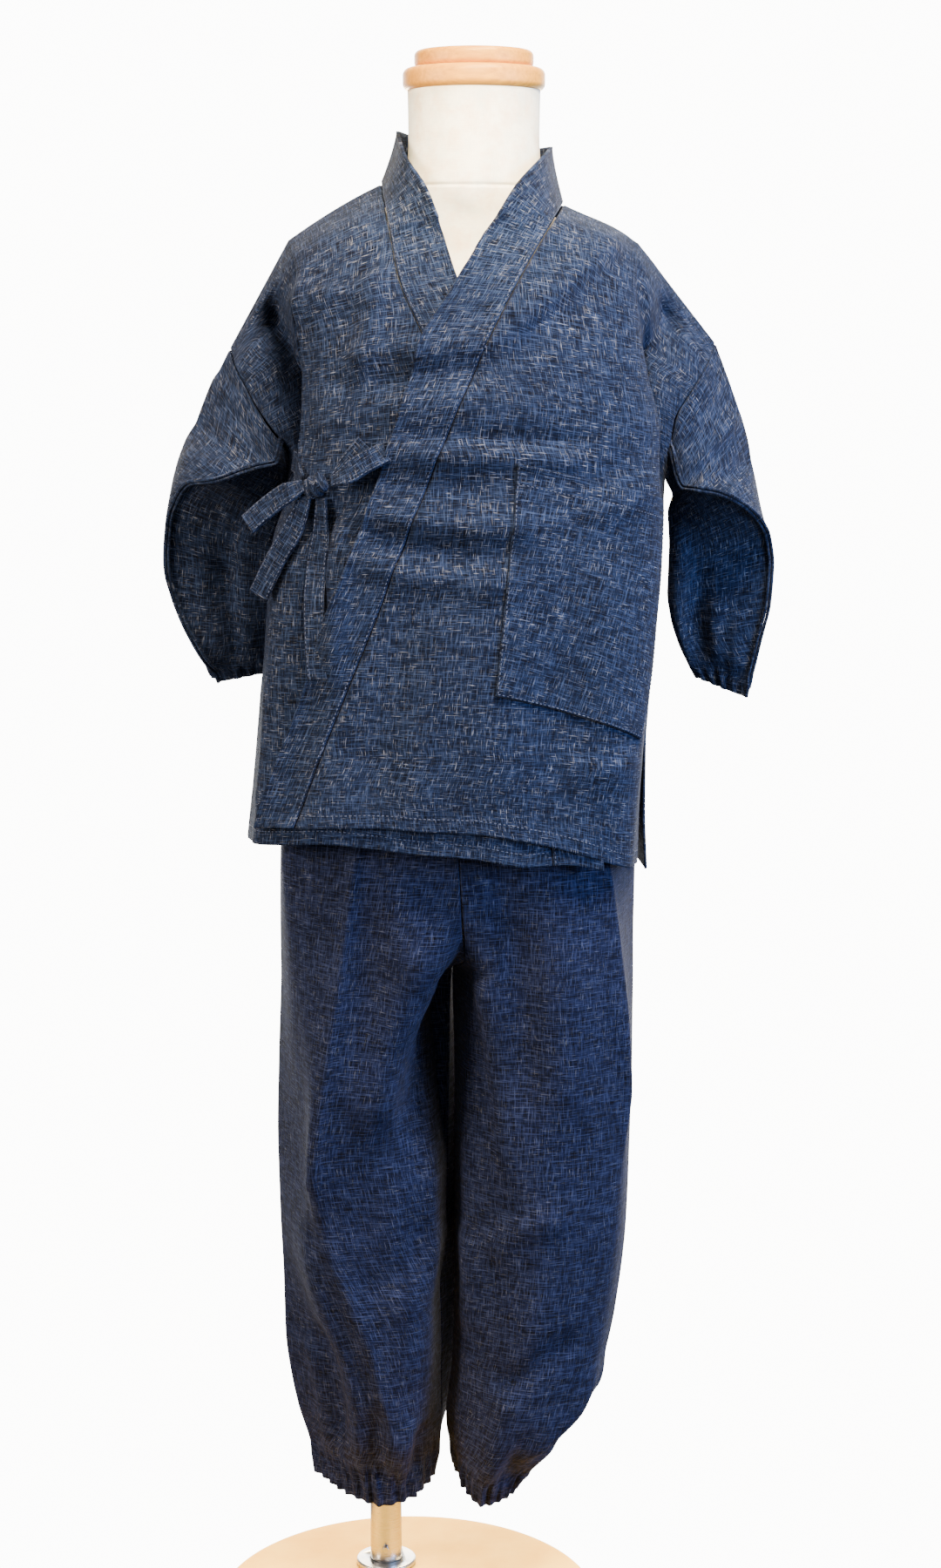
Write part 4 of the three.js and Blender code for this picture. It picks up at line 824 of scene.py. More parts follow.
def leg_curve(rows, rise, v):
    row = smooth_table(rows)(v)
    low = smoothstep(v, LEG_LAST - HEM_RISE_ROWS, LEG_LAST)
    return [vec(row[name + "x"], row[name + "y"], row["z"] + rise[seam] * share * low)
            for name, (seam, share) in zip("sfcgm", HEM_RISE_SHARES)]


def leg_grid(front_rows, own_rows, rise, is_back, flipped):
    v = LEG_LEVELS
    keys = leg_curve(own_rows, dict(side=0, inner=0) if is_back else rise, v)
    if is_back:
        shared = leg_curve(front_rows, rise, v)
        keys[0] = shared[0] + [0, SEAM_GAP, 0]
        keys[4] = np.where((v >= CROTCH)[:, None], shared[4] + [0, SEAM_GAP, 0], keys[4])
    grid = smooth_path(np.stack(keys))(np.linspace(0, len(keys) - 1, LEG_ACROSS + 1))
    grid = np.swapaxes(grid, 0, 1)
    away = np.sign(grid[:, 0, 0] - grid[:, -1, 0])
    grid[:, -1, 0] += np.where(v >= INSIDE_SEAM_FROM, away * SEAM_GAP / 2, 0)
    share = lengths(grid, 1)
    share = share / share[:, -1:]
    depth = GATHER_DEPTH * smoothstep(v, *LEG_CUFF_PULL)[:, None]
    outward = outward_level(grid, (grid[:, :1] + grid[:, -1:]) / 2)
    grid = grid + outward * (gather_wave(share, TROUSER_GATHERS / 2) * depth)[..., None]
    inner = bell(1 - share, CLOSER_SHARE) * bell(grid[..., 2] - CLOSER_AT, CLOSER_HIGH)
    grid[..., 0] -= away[:, None] * LEGS_CLOSER * inner
    return grid[:, ::-1] if flipped else grid


def waistband_grid():
    z = np.linspace(WAISTBAND["top"], WAISTBAND["top"] - WAISTBAND["height"], WAIST_ROWS)[:, None]
    row = smooth_table(TORSO, "z")(z)
    angle = angles(WAIST_ROUND)[None, :]
    reach = WAISTBAND["thick"] + 2 * SEAM_GAP + WAIST_WAVE * (1 + np.cos(angle * WAIST_WAVES))
    return vec(row["x"] + (row["halfX"] + reach) * np.cos(angle),
               row["y"] + (row["halfY"] + reach) * np.sin(angle), z)

# %% [markdown]
# ## Creases
# The main creases are placed on the finished sheets: each follows a line in x and z,
# seen from the front, and stands out or sinks in by "height". A "ridge" swells evenly, a "fold"
# is steep to the right of its line as it is followed and easy to the left, a "press" has the
# sharp edge of an iron, and a "roll" rises to the left and falls to the right.

# %% Crease shapes
CREASE_FADE = 0.25
CREASE_STRENGTH = 1.35
FOLD_EASY, FOLD_STEEP, PRESS_SHARP = 0.45, 5, 1.3
CREASE_SHAPES = dict(
    ridge=lambda s: np.exp(-s * s),
    fold=lambda s: np.exp(-np.where(s >= 0, FOLD_EASY, FOLD_STEEP) * s * s),
    press=lambda s: np.exp(-PRESS_SHARP * np.abs(s)),
    roll=lambda s: s * np.exp(0.5 - 0.5 * s * s))
TURNED_AWAY, TURNED_FULLY = -0.1, 0.35
SEAM_SINK = 1.2


def crease(grid, kind, height, width, line):
    """How far each point moves out for one crease."""
    line = np.array(line, float)
    flat = grid[..., [0, 2]]
    spans = line[1:] - line[:-1]
    long = np.linalg.norm(spans, axis=1)
    travelled = np.concatenate([[0], np.cumsum(long)])
    best = np.full(flat.shape[:2], np.inf)
    signed, along = np.zeros(flat.shape[:2]), np.zeros(flat.shape[:2])
    for start, d, size, before in zip(line[:-1], spans, long, travelled):
        rel = flat - start
        t = np.clip((rel @ d) / size ** 2, 0, 1)
        distance = np.linalg.norm(rel - t[..., None] * d, axis=-1)
        nearer = distance < best
        best = np.where(nearer, distance, best)
        side = np.where(d[0] * rel[..., 1] - d[1] * rel[..., 0] >= 0, 1.0, -1.0)
        signed = np.where(nearer, side * distance, signed)
        along = np.where(nearer, (before + t * size) / travelled[-1], along)
    ends = smoothstep(np.minimum(along, 1 - along), 0, CREASE_FADE)
    return CREASE_STRENGTH * height * CREASE_SHAPES[kind](signed / width) * ends


def creased(grid, creases, facing, still=0, closed=False):
    """Moves a sheet out along its normals; "still" rows and columns at its edges stay."""
    normals = grid_normals(grid, closed)
    out = sum(crease(grid, *one) for one in creases)
    out = out * smoothstep(normals @ np.array(facing, float), TURNED_AWAY, TURNED_FULLY)
    if still:
        down, across = (np.minimum(k, k[::-1]) for k in map(np.arange, out.shape))
        out = out * np.clip(down / still, 0, 1)[:, None]
        if not closed:
            out = out * np.clip(across / still, 0, 1)[None, :]
    return grid + normals * out[..., None]


def edged(grid, closed=False, near=1.3, most=0.6):
    """Adds a line of points close to each edge, so that the edge can be rounded."""
    def between(a, b):
        gap = np.linalg.norm(b - a, axis=-1, keepdims=True)
        return a + (b - a) * np.minimum(near / np.maximum(gap, near), most)

    def along_rows(g):
        return np.concatenate([g[:1], between(g[:1], g[1:2]), g[1:-1],
                               between(g[-1:], g[-2:-1]), g[-1:]])

    grid = along_rows(grid)
    return grid if closed else along_rows(grid.swapaxes(0, 1)).swapaxes(0, 1)


def sunk(grid, sides):
    """Draws the named edges in, as a seam pulls the cloth down."""
    normals = grid_normals(grid, False) * SEAM_SINK
    places = dict(top=np.s_[:1], bottom=np.s_[-1:], left=np.s_[:, :1], right=np.s_[:, -1:])
    grid = grid.copy()
    for side in sides.split():
        grid[places[side]] -= normals[places[side]]
    return grid

# %% [markdown]
# The jacket hangs from the shoulders and is drawn to the bow, so its creases run across the
# chest and fan out from the knot. Where the sleeve drops, the body folds sharply over itself.

# %% Jacket creases
LAP_CREASES = [
    ("fold", 5.0, 14, [(62, 993), (112, 1030), (149, 1060), (172, 1082)]),
    ("ridge", -1.0, 12, [(58, 972), (100, 1004), (150, 1036)]),
    ("ridge", 3.0, 9, [(-58, 981), (-12, 992), (25, 992), (62, 998), (100, 996)]),
    ("ridge", -3.0, 9, [(-58, 959), (-5, 970), (38, 976), (84, 974)]),
    ("ridge", 2.0, 10, [(0, 948), (40, 955), (90, 952), (130, 958)]),
    ("ridge", -3.2, 6, [(-16, 930), (38, 931), (87, 928), (152, 925)]),
    ("ridge", 3.8, 8, [(-20, 922), (38, 918), (87, 916), (156, 911)]),
    ("ridge", -3.2, 11, [(-30, 899), (20, 896), (80, 893)]),
    ("ridge", 3.6, 10, [(-34, 880), (13, 870), (62, 867), (118, 871)]),
    ("ridge", -4.0, 11, [(-44, 866), (7, 852), (62, 846), (100, 852)]),
    ("ridge", 3.4, 12, [(-46, 848), (7, 835), (62, 828), (96, 826)]),
    ("ridge", 5.5, 30, [(76, 905), (70, 830), (62, 740), (58, 650)]),
    ("roll", 2.2, 18, [(20, 830), (8, 760), (-2, 700), (-8, 640)]),
    ("ridge", -2.6, 22, [(112, 800), (112, 720), (118, 620)]),
    ("ridge", 2.2, 16, [(150, 860), (146, 760), (150, 650)]),
    ("ridge", -2.4, 14, [(186, 930), (160, 908), (122, 898)]),
    ("ridge", 2.6, 12, [(188, 905), (160, 882), (128, 876)]),
    ("fold", 2.4, 12, [(178, 700), (150, 690), (110, 700)]),
    ("fold", 3.5, 7, [(173, 1070), (177, 1024), (182, 980), (188, 936), (192, 890)]),
]
UNDER_CREASES = [
    ("fold", 4.2, 7, [(-74, 880), (-72, 936), (-73, 974), (-72, 1018), (-69, 1066)]),
    ("fold", 3.6, 12, [(-4, 1052), (-30, 1034), (-62, 1030), (-78, 1044)]),
    ("ridge", -1.6, 10, [(-66, 1014), (-12, 1020), (14, 1023)]),
    ("ridge", 1.2, 10, [(-72, 930), (-44, 940), (-10, 950), (24, 950)]),
    ("roll", 2.6, 10, [(-20, 1045), (-34, 1000), (-38, 950)]),
    ("ridge", 5.0, 8, [(-22, 893), (-40, 868), (-46, 840), (-47, 790), (-50, 740)]),
    ("ridge", -4.0, 7, [(-36, 892), (-56, 862), (-62, 830), (-62, 780)]),
    ("ridge", 2.6, 11, [(-84, 874), (-88, 800), (-94, 720)]),
    ("ridge", -2.4, 12, [(-64, 760), (-74, 700), (-84, 640)]),
    ("ridge", 2.4, 10, [(-98, 760), (-104, 700), (-106, 640)]),
]
BACK_CREASES = [
    ("fold", 4.5, 16, [(60, 1000), (100, 1020), (160, 1062)]),
    ("fold", 4.0, 15, [(20, 995), (-20, 1010), (-70, 1052)]),
    ("ridge", 3.4, 13, [(-60, 930), (20, 900), (140, 915)]),
    ("ridge", -3.4, 14, [(-56, 900), (20, 872), (140, 888)]),
    ("ridge", 3.2, 14, [(-70, 866), (40, 846), (160, 866)]),
    ("ridge", 5.0, 26, [(10, 820), (0, 720), (-6, 620)]),
    ("ridge", -3.4, 22, [(56, 820), (52, 720), (50, 620)]),
    ("ridge", 4.2, 26, [(96, 820), (100, 720), (108, 610)]),
    ("fold", 4.0, 8, [(-74, 900), (-70, 960), (-74, 1040)]),
    ("fold", 4.0, 8, [(171, 1050), (176, 980), (182, 900)]),
]
SLEEVE_CREASES = dict(
    right=[
        ("fold", 2.6, 9, [(-82, 925), (-112, 940), (-150, 978)]),
        ("ridge", -2.6, 9, [(-168, 944), (-140, 925), (-112, 908)]),
        ("ridge", 2.6, 8, [(-170, 916), (-146, 906), (-122, 904)]),
        ("fold", 3.4, 9, [(-112, 880), (-126, 830), (-122, 770), (-128, 744)]),
        ("ridge", 3.0, 8, [(-150, 860), (-154, 810), (-142, 770), (-138, 744)]),
        ("ridge", -2.6, 6, [(-136, 850), (-138, 800), (-132, 748)]),
        ("ridge", 2.4, 6, [(-168, 800), (-158, 770), (-148, 744)]),
    ],
    left=[
        ("fold", 3.2, 8, [(172, 1002), (190, 1018), (214, 1046)]),
        ("ridge", -2.6, 7, [(168, 990), (190, 1006), (220, 1030)]),
        ("fold", 4.0, 9, [(208, 896), (222, 912), (254, 946)]),
        ("ridge", -2.6, 8, [(266, 916), (246, 902), (222, 893)]),
        ("fold", 4.4, 9, [(216, 744), (208, 790), (212, 830), (206, 868)]),
        ("ridge", -3.4, 7, [(226, 840), (224, 796), (232, 748)]),
        ("ridge", 3.2, 7, [(240, 812), (234, 786), (240, 748)]),
        ("ridge", 2.8, 7, [(256, 800), (252, 770), (254, 742)]),
    ])

# %% [markdown]
# The trousers carry the iron's creases down each front and back, hang in from the crotch, and
# break into soft folds above the elastic.

# %% Trouser creases
FRONT, BEHIND_FACING = (0, -1, 0.2), (0, 1, 0.2)
LEG_FRONT_RIGHT_CREASES = [
    ("press", 5.0, 7, [(-29, 720), (-33, 622), (-44, 547), (-61, 440), (-73, 342), (-77, 296)]),
    ("roll", 7.0, 18, [(-16, 385), (-6, 417), (4, 475), (24, 516), (44, 562), (48, 590)]),
    ("ridge", -6.0, 20, [(50, 530), (36, 470), (26, 420), (14, 360)]),
    ("ridge", -3.0, 16, [(-20, 600), (-24, 520), (-34, 440)]),
    ("ridge", 4.0, 20, [(-4, 640), (-4, 540), (-20, 440), (-34, 360)]),
    ("fold", 7.0, 11, [(-36, 100), (-33, 177), (-42, 219), (-54, 250), (-78, 326)]),
    ("ridge", -4.0, 9, [(-72, 250), (-56, 200), (-48, 130)]),
    ("ridge", 3.2, 7, [(-80, 230), (-66, 170), (-60, 110)]),
    ("ridge", 3.4, 14, [(-12, 400), (-10, 330), (6, 250), (8, 180)]),
    ("ridge", -4.0, 13, [(-46, 320), (-24, 250), (-10, 190), (-8, 120)]),
    ("roll", 3.0, 12, [(30, 330), (4, 285), (-24, 258)]),
    ("ridge", -3.0, 7, [(-26, 180), (-24, 140), (-22, 100)]),
    ("ridge", 3.0, 6, [(6, 170), (0, 140), (-6, 104)]),
    ("ridge", -2.8, 5, [(14, 160), (8, 130), (4, 104)]),
]
LEG_FRONT_LEFT_CREASES = [
    ("press", 4.5, 7, [(146, 720), (148, 619), (156, 560), (164, 494), (168, 430), (166, 360)]),
    ("ridge", -4.0, 18, [(66, 660), (80, 560), (90, 470), (92, 400)]),
    ("ridge", 4.0, 24, [(112, 640), (120, 520), (122, 390)]),
    ("fold", 5.0, 14, [(48, 574), (64, 500), (74, 430), (78, 340)]),
    ("ridge", 4.5, 12, [(60, 300), (90, 330), (130, 348)]),
    ("fold", 5.0, 11, [(82, 132), (122, 166), (152, 191), (166, 214)]),
    ("ridge", -4.0, 12, [(60, 196), (96, 214), (140, 250)]),
    ("ridge", 3.6, 9, [(46, 330), (52, 280), (48, 230)]),
    ("ridge", 3.2, 8, [(62, 104), (70, 160), (84, 210)]),
    ("ridge", -3.0, 7, [(74, 104), (84, 140), (104, 172)]),
    ("ridge", 2.6, 6, [(86, 100), (100, 128), (120, 150)]),
]
LEG_BACK_CREASES = dict(
    right=[
        ("press", 5.0, 7, [(-34, 690), (-36, 560), (-38, 400), (-38, 280)]),
        ("fold", 6.0, 13, [(-20, 130), (-30, 250), (-60, 330), (-90, 420)]),
        ("ridge", -4.0, 14, [(20, 520), (0, 440), (-14, 360)]),
        ("ridge", 3.4, 8, [(-60, 100), (-62, 170), (-74, 240)]),
        ("ridge", -3.4, 8, [(-44, 100), (-48, 150), (-52, 220)]),
        ("ridge", 3.2, 7, [(6, 100), (4, 160), (10, 230)]),
    ],
    left=[
        ("press", 5.0, 7, [(100, 690), (104, 560), (106, 400), (104, 280)]),
        ("fold", 6.0, 13, [(160, 420), (130, 330), (100, 250), (86, 130)]),
        ("ridge", -4.0, 14, [(60, 520), (76, 440), (88, 360)]),
        ("ridge", 3.4, 8, [(70, 100), (74, 170), (84, 240)]),
        ("ridge", -3.4, 8, [(58, 100), (58, 150), (62, 220)]),
        ("ridge", 3.2, 7, [(98, 140), (112, 190), (136, 240)]),
    ])

# %% [markdown]
# ## Cut, crease and sew the cloth
# Each piece of cloth stands for its plain solid in the frame. Its seamed edges are drawn in.

# %% Cloth pieces
CLOTH_PIECES = {}
SHEET_GRIDS = {}


def wear(piece, slot, *nodes):
    """A piece rides on the one body and stands for these nodes; its slot is not used."""
    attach(piece, "root")
    if nodes:
        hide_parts(*nodes)
    return piece


def cloth(name, grid, seams="", thickness=CLOTH, closed=False):
    grid = sunk(grid, seams)
    piece = wear(shell("cloth_" + name, grid, thickness, closed), "indigo_cotton", name)
    CLOTH_PIECES[name] = piece
    SHEET_GRIDS[name] = (grid, closed)


FRONT_CREASES = LAP_CREASES + UNDER_CREASES
LEG_FRONT_CREASES = dict(right=LEG_FRONT_RIGHT_CREASES, left=LEG_FRONT_LEFT_CREASES)
# The sleeve's seam is drawn in, but not within this many columns of the armpit.
FLAT_AT_ARMPIT = 9.0

lap_front = edged(front_grid("lap", lap_lines, 1))
under_front = edged(front_grid("under", under_lines, -1))
cloth("jacket_front_left", creased(lap_front, FRONT_CREASES, FRONT), "left right")
cloth("jacket_front_right", creased(under_front, FRONT_CREASES, FRONT), "left right")
back = creased(edged(back_grid()), BACK_CREASES, BEHIND_FACING, still=4)
cloth("jacket_back", back, "left right")
lap_side = collar_on_front("lap", lap_lines, LAP_NECK_EDGE)[::-1]
under_side = collar_on_front("under", under_lines, UNDER_NECK_EDGE)
collar_grid = edged(np.concatenate([
    creased(lap_side, FRONT_CREASES, FRONT), collar_behind_neck(),
    creased(under_side, FRONT_CREASES, FRONT)]))
free_edge = np.linspace(0, 1, collar_grid.shape[1])[None, :, None] ** 3
collar_grid += grid_normals(collar_grid, False) * free_edge * COLLAR_EDGE_RISE
cloth("collar", collar_grid, "left", BAND)
cloth("pocket", creased(edged(pocket_grid()), FRONT_CREASES, FRONT), "left right bottom")
for tie_name, tie in TIES.items():
    cloth(tie_name, edged(strap_grid(tie)), "left right", STRAP["thick"])
for side_name, side, rows in [("right", -1, SLEEVE_RIGHT), ("left", 1, SLEEVE_LEFT)]:
    grid = edged(sleeve_grid(rows, side), closed=True)
    grid = creased(grid, SLEEVE_CREASES[side_name], FRONT, still=6, closed=True)
    armpit = UPPER + LOWER if side < 0 else BEHIND - 1
    drawn_in = 1 - bell(np.arange(grid.shape[1]) - armpit, FLAT_AT_ARMPIT)
    grid[0] -= grid_normals(grid, True)[0] * (SEAM_SINK * drawn_in)[:, None]
    cloth("sleeve_" + side_name, grid, closed=True)
for side_name, front_rows, back_rows in [
        ("right", TROUSER_FRONT_RIGHT, TROUSER_BACK_RIGHT),
        ("left", TROUSER_FRONT_LEFT, TROUSER_BACK_LEFT)]:
    rise = HEM_RISE[side_name]
    mirrored = side_name == "left"
    front = edged(leg_grid(front_rows, front_rows, rise, False, mirrored))
    back = edged(leg_grid(front_rows, back_rows, rise, True, not mirrored))
    front = creased(front, LEG_FRONT_CREASES[side_name], FRONT, still=3)
    back = creased(back, LEG_BACK_CREASES[side_name], BEHIND_FACING, still=3)
    cloth("trouser_front_" + side_name, front, "left right")
    cloth("trouser_back_" + side_name, back, "left right")
cloth("waistband", waistband_grid(), "", WAISTBAND["thick"], True)

# %% [markdown]
# ## The knot
# The bow's knot is one strap wound round the others: a short barrel of cloth whose folds run
# round it, as wide and as deep as the frame's solid.

# %% Knot
KNOT_TILT = 0.42
KNOT_ROWS, KNOT_ROUND = 40, 72
KNOT_FILL = (0.92, 0.98, 0.95)
KNOT_END = 0.12


def turned_by(angle, a, b):
    return a * math.cos(angle) - b * math.sin(angle), a * math.sin(angle) + b * math.cos(angle)


def knot_rings():
    along = np.linspace(-1, 1, KNOT_ROWS)[:, None]
    angle = angles(KNOT_ROUND)[None, :]
    swell = np.sqrt(np.maximum(1 - along ** 4, KNOT_END))
    long_folds = 0.07 * np.cos(along * 9 + np.sin(angle) * 0.9)
    reach = swell * (1 + long_folds + 0.04 * np.sin(angle * 3 + along * 4))
    half_x, half_y, half_z = (
        KNOT["half_" + axis] * fill for axis, fill in zip("xyz", KNOT_FILL))
    x, z = turned_by(KNOT_TILT, along * half_x, half_z * reach * np.sin(angle))
    x, y = turned_by(KNOT["turn"], x, -half_y * reach * np.cos(angle))
    return vec(KNOT["x"] + x, KNOT["y"] + y, KNOT["z"] + z)


knot = wear(solid("cloth_tie_knot", knot_rings()), "indigo_cotton", "tie_knot")

# %% [markdown]
# ## Stitching
# Topstitches are short threads laid on the cloth a little way in from an edge. One thread is
# modelled as a thin lozenge with ten corners and then repeated along every line.

# %% Stitches
def inset_path(name, edge, distance):
    """A line on a sheet at a distance in from one of its edges, with its normals."""
    grid, closed = SHEET_GRIDS[name]
    normals = grid_normals(grid, closed)
    if edge in ("top", "bottom"):
        grid, normals = grid.swapaxes(0, 1), normals.swapaxes(0, 1)
    if edge in ("right", "bottom"):
        grid, normals = grid[:, ::-1], normals[:, ::-1]
    reach = lengths(grid, 1)
    line = np.arange(len(grid))
    i = np.clip((reach < distance).sum(axis=1) - 1, 0, grid.shape[1] - 2)
    t = (distance - reach[line, i]) / (reach[line, i + 1] - reach[line, i])
    points = lerp(grid[line, i], grid[line, i + 1], t[:, None])
    return points, unit(lerp(normals[line, i], normals[line, i + 1], t[:, None]))


STITCH = dict(length=2.3, pitch=3.4, half=0.34, rise=0.32, sink=0.2, deep=0.4)
STITCH_FULL = (0.2, 0.8)
COLLAR_INSET, HEM_INSET, PATCH_INSET, MOUTH_INSET = 2.2, 10, 2.0, 14


def stitches(name, paths):
    points = []
    for line, normals in paths:
        run = lengths(line[None], 1)[0]
        starts = np.arange(STITCH["pitch"] / 2, run[-1] - STITCH["pitch"], STITCH["pitch"])

        def at(share, values):
            where = starts + share * STITCH["length"]
            return np.stack([np.interp(where, run, values[:, k]) for k in range(3)], axis=-1)

        up = unit(at(0.5, normals))
        ahead = unit(at(1, line) - at(0, line))
        side = unit(np.cross(up, ahead)) * STITCH["half"]
        first, last = (at(share, line) - up * STITCH["sink"] for share in (0, 1))
        rings = []
        for middle in (at(share, line) for share in STITCH_FULL):
            rings += [middle + side, middle + up * STITCH["rise"],
                      middle - side, middle - up * STITCH["deep"]]
        points.append(np.stack([first, *rings, last], axis=1))
    points = np.concatenate(points)
    around = [(0, 1), (1, 2), (2, 3), (3, 0)]
    one = [[0, 1 + b, 1 + a] for a, b in around]
    one += [[1 + a, 1 + b, 5 + b, 5 + a] for a, b in around]
    one += [[9, 5 + a, 5 + b] for a, b in around]
    faces = [[10 * k + i for i in face] for k in range(len(points)) for face in one]
    return wear(add_mesh(name, points.reshape(-1, 3), faces), "indigo_cotton")


FRONT_STITCHES = stitches("stitches_jacket", [
    inset_path("collar", "left", COLLAR_INSET),
    *(inset_path(name, "bottom", HEM_INSET)
      for name in ("jacket_front_left", "jacket_front_right", "jacket_back"))])
POCKET_STITCHES = stitches("stitches_pocket", [
    *(inset_path("pocket", edge, PATCH_INSET) for edge in ("left", "right", "bottom")),
    inset_path("pocket", "top", MOUTH_INSET)])
STRAP_STITCHES = {name: stitches("stitches_" + name, [
    inset_path(name, edge, PATCH_INSET) for edge in ("left", "right")]) for name in TIES}

# %% [markdown]
# ## Sleeve welts
# The seam along each sleeve is felled: the cloth is folded over and sewn down twice, which
# leaves two fine ribs side by side from the armhole to the cuff.

# %% Welts
WELT_RADIUS = 1.3
WELT_SIDES = 10
WELT_RISE, WELT_APART, WELT_STEPS = 0.7, 1.35, 140


def rib(line, normals, shift):
    ahead = unit(np.gradient(line, axis=0))
    side = unit(np.cross(normals, ahead))
    centre = line + side * shift + normals * WELT_RISE
    angle = angles(WELT_SIDES)[:, None]
    return centre[:, None] + WELT_RADIUS * (side[:, None] * np.cos(angle)
                                            + normals[:, None] * np.sin(angle))


def welt(side_name, column):
    grid, closed = SHEET_GRIDS["sleeve_" + side_name]
    normals = grid_normals(grid, closed)[:, column]
    line = grid[:, column]
    steps = np.linspace(0, 1, WELT_STEPS) * (len(line) - 1)
    line, normals = smooth_path(line)(steps), unit(smooth_path(normals)(steps))
    for number, shift in ((1, -WELT_APART), (2, WELT_APART)):
        piece = solid(f"welt_sleeve_{side_name}_{number}", rib(line, normals, shift))
        WELTS.setdefault(side_name, []).append(wear(piece, "indigo_cotton"))


WELTS = {}
welt("right", UPPER)
welt("left", UPPER + LOWER + BEHIND - 1 - UPPER)

# %% [markdown]
# ## The dress form
# The padded torso is covered in linen. Its sections are the frame's, with many more points, and
# a seam runs round it where the neck's cover is sewn to the chest's.

# %% Torso
NECK_SEAM = dict(z=1109.0, depth=0.8, half=1.3, near=3, levels=13)
FORM_AROUND, FORM_LEVELS = 144, 190


def torso_rings():
    z = np.unique(np.concatenate([
        np.linspace(TORSO["z"][0], NECK["top"], FORM_LEVELS),
        NECK_SEAM["z"] + np.linspace(-NECK_SEAM["near"], NECK_SEAM["near"],
                                     NECK_SEAM["levels"])]))[::-1, None]
    row = smooth_table(TORSO, "z")(z)
    angle = -angles(FORM_AROUND)[None, :]
    sink = NECK_SEAM["depth"] * bell(z - NECK_SEAM["z"], NECK_SEAM["half"])
    return vec(row["x"] + (row["halfX"] - sink) * np.cos(angle),
               row["y"] + (row["halfY"] - sink) * np.sin(angle),
               z + row["slope"] * row["halfX"] * np.cos(angle))


form = wear(solid("form_linen", torso_rings()[:, ::-1]), "linen", "form_torso")

# %% [markdown]
# ## Stand
# Turned and machined parts: each starts as a plain cylinder and its edges are rounded off.

# %% Stand pieces
def turned(name, slot, node, place, radius, height, edge, sides=128, axis="Z"):
    """A cylinder standing on "place", in millimetres, with both its rims rounded."""
    bpy.ops.object.select_all(action="DESELECT")
    middle = np.array(place, float) + [0, 0, height / 2 if axis == "Z" else 0]
    bpy.ops.mesh.primitive_cylinder_add(
        vertices=sides, radius=radius * MM, depth=height * MM, location=(middle * MM).tolist(),
        rotation=(math.radians(90) if axis == "Y" else 0, 0, 0))
    piece = bpy.context.object
    piece.name = name
    bpy.ops.object.transform_apply(location=True, rotation=True, scale=True)
    rounding = piece.modifiers.new("rim", "BEVEL")
    rounding.width, rounding.segments, rounding.limit_method = edge * MM, 7, "ANGLE"
    bpy.ops.object.modifier_apply(modifier=rounding.name)
    bpy.ops.object.shade_smooth_by_angle(angle=math.radians(40))
    piece.data.name = name
    print(f"{name}: {len(piece.data.polygons)} faces")
    return wear(piece, slot, node)


def bored(piece, place, radius, height):
    """Cuts a round hole upward through a piece."""
    bpy.ops.mesh.primitive_cylinder_add(
        vertices=96, radius=radius * MM, depth=height * MM, location=[c * MM for c in place])
    cutter = bpy.context.object
    cut = piece.modifiers.new("bore", "BOOLEAN")
    cut.operation, cut.object, cut.solver = "DIFFERENCE", cutter, "EXACT"
    bpy.context.view_layer.objects.active = piece
    bpy.ops.object.modifier_apply(modifier=cut.name)
    bpy.data.objects.remove(cutter)
    return piece


POLE_X, POLE_Y = -18.5, 58
PLATE, POLE = dict(radius=150, height=17), dict(radius=12.7, height=543)
FLANGE, SCREW = dict(radius=24, height=4.5), dict(radius=2.8, height=3.5)
CAP_LOW, CAP_HIGH = dict(radius=52, height=16), dict(radius=43.5, height=12.5)
SCREW_Y = POLE_Y - POLE["radius"] - SEAM_GAP - SCREW["height"] / 2
SCREW_Z = 34
ON_PLATE = (POLE_X, POLE_Y, PLATE["height"])
ON_NECK = (NECK["x"], NECK["y"], NECK["top"])
ON_CAP = (NECK["x"], NECK["y"], NECK["top"] + CAP_LOW["height"])

plate_piece = turned("stand_plate", "plate", "base_plate", (0, 0, 0), **PLATE, edge=6, sides=192)
pole_piece = turned("stand_pole", "steel", "pole", ON_PLATE, **POLE, edge=0.8)
flange_piece = turned("stand_flange", "steel", "pole_flange", ON_PLATE, **FLANGE, edge=1.6)
bored(flange_piece, (POLE_X, POLE_Y, PLATE["height"] + 2), radius=13, height=12)
screw_piece = turned("stand_screw", "steel", "set_screw", (POLE_X, SCREW_Y, SCREW_Z), **SCREW,
                     edge=0.5, sides=48, axis="Y")
cap_low = turned("cap_lower", "wood", "neck_cap_lower", ON_NECK, **CAP_LOW, edge=5)
cap_high = turned("cap_upper", "wood", "neck_cap_upper", ON_CAP, **CAP_HIGH, edge=4)

# %% [markdown]
# ## Materials
# Colours are given as they look on a screen and turned into linear light by one function.

# %% Materials
def hex_linear(text):
    values = [int(text[i:i + 2], 16) / 255 for i in (1, 3, 5)]
    return [v / 12.92 if v <= 0.04045 else ((v + 0.055) / 1.055) ** 2.4 for v in values] + [1.0]


class Nodes:
    """Adds nodes to one material and wires them together."""

    def __init__(self, name):
        self.material = bpy.data.materials.new(name)
        self.material.use_nodes = True
        self.tree = self.material.node_tree
        self.shader = self.tree.nodes["Principled BSDF"]

    def add(self, kind, inputs=None, **settings):
        node = self.tree.nodes.new(kind)
        for key, value in settings.items():
            setattr(node, key, value)
        for key, value in (inputs or {}).items():
            self.set(node, key, value)
        return node

    def set(self, node, key, value):
        socket = node.inputs[key]
        if isinstance(value, bpy.types.NodeSocket):
            self.tree.links.new(value, socket)
        else:
            socket.default_value = value

    def finish(self, **inputs):
        for key, value in inputs.items():
            self.set(self.shader, key.replace("_", " "), value)
        return self.material


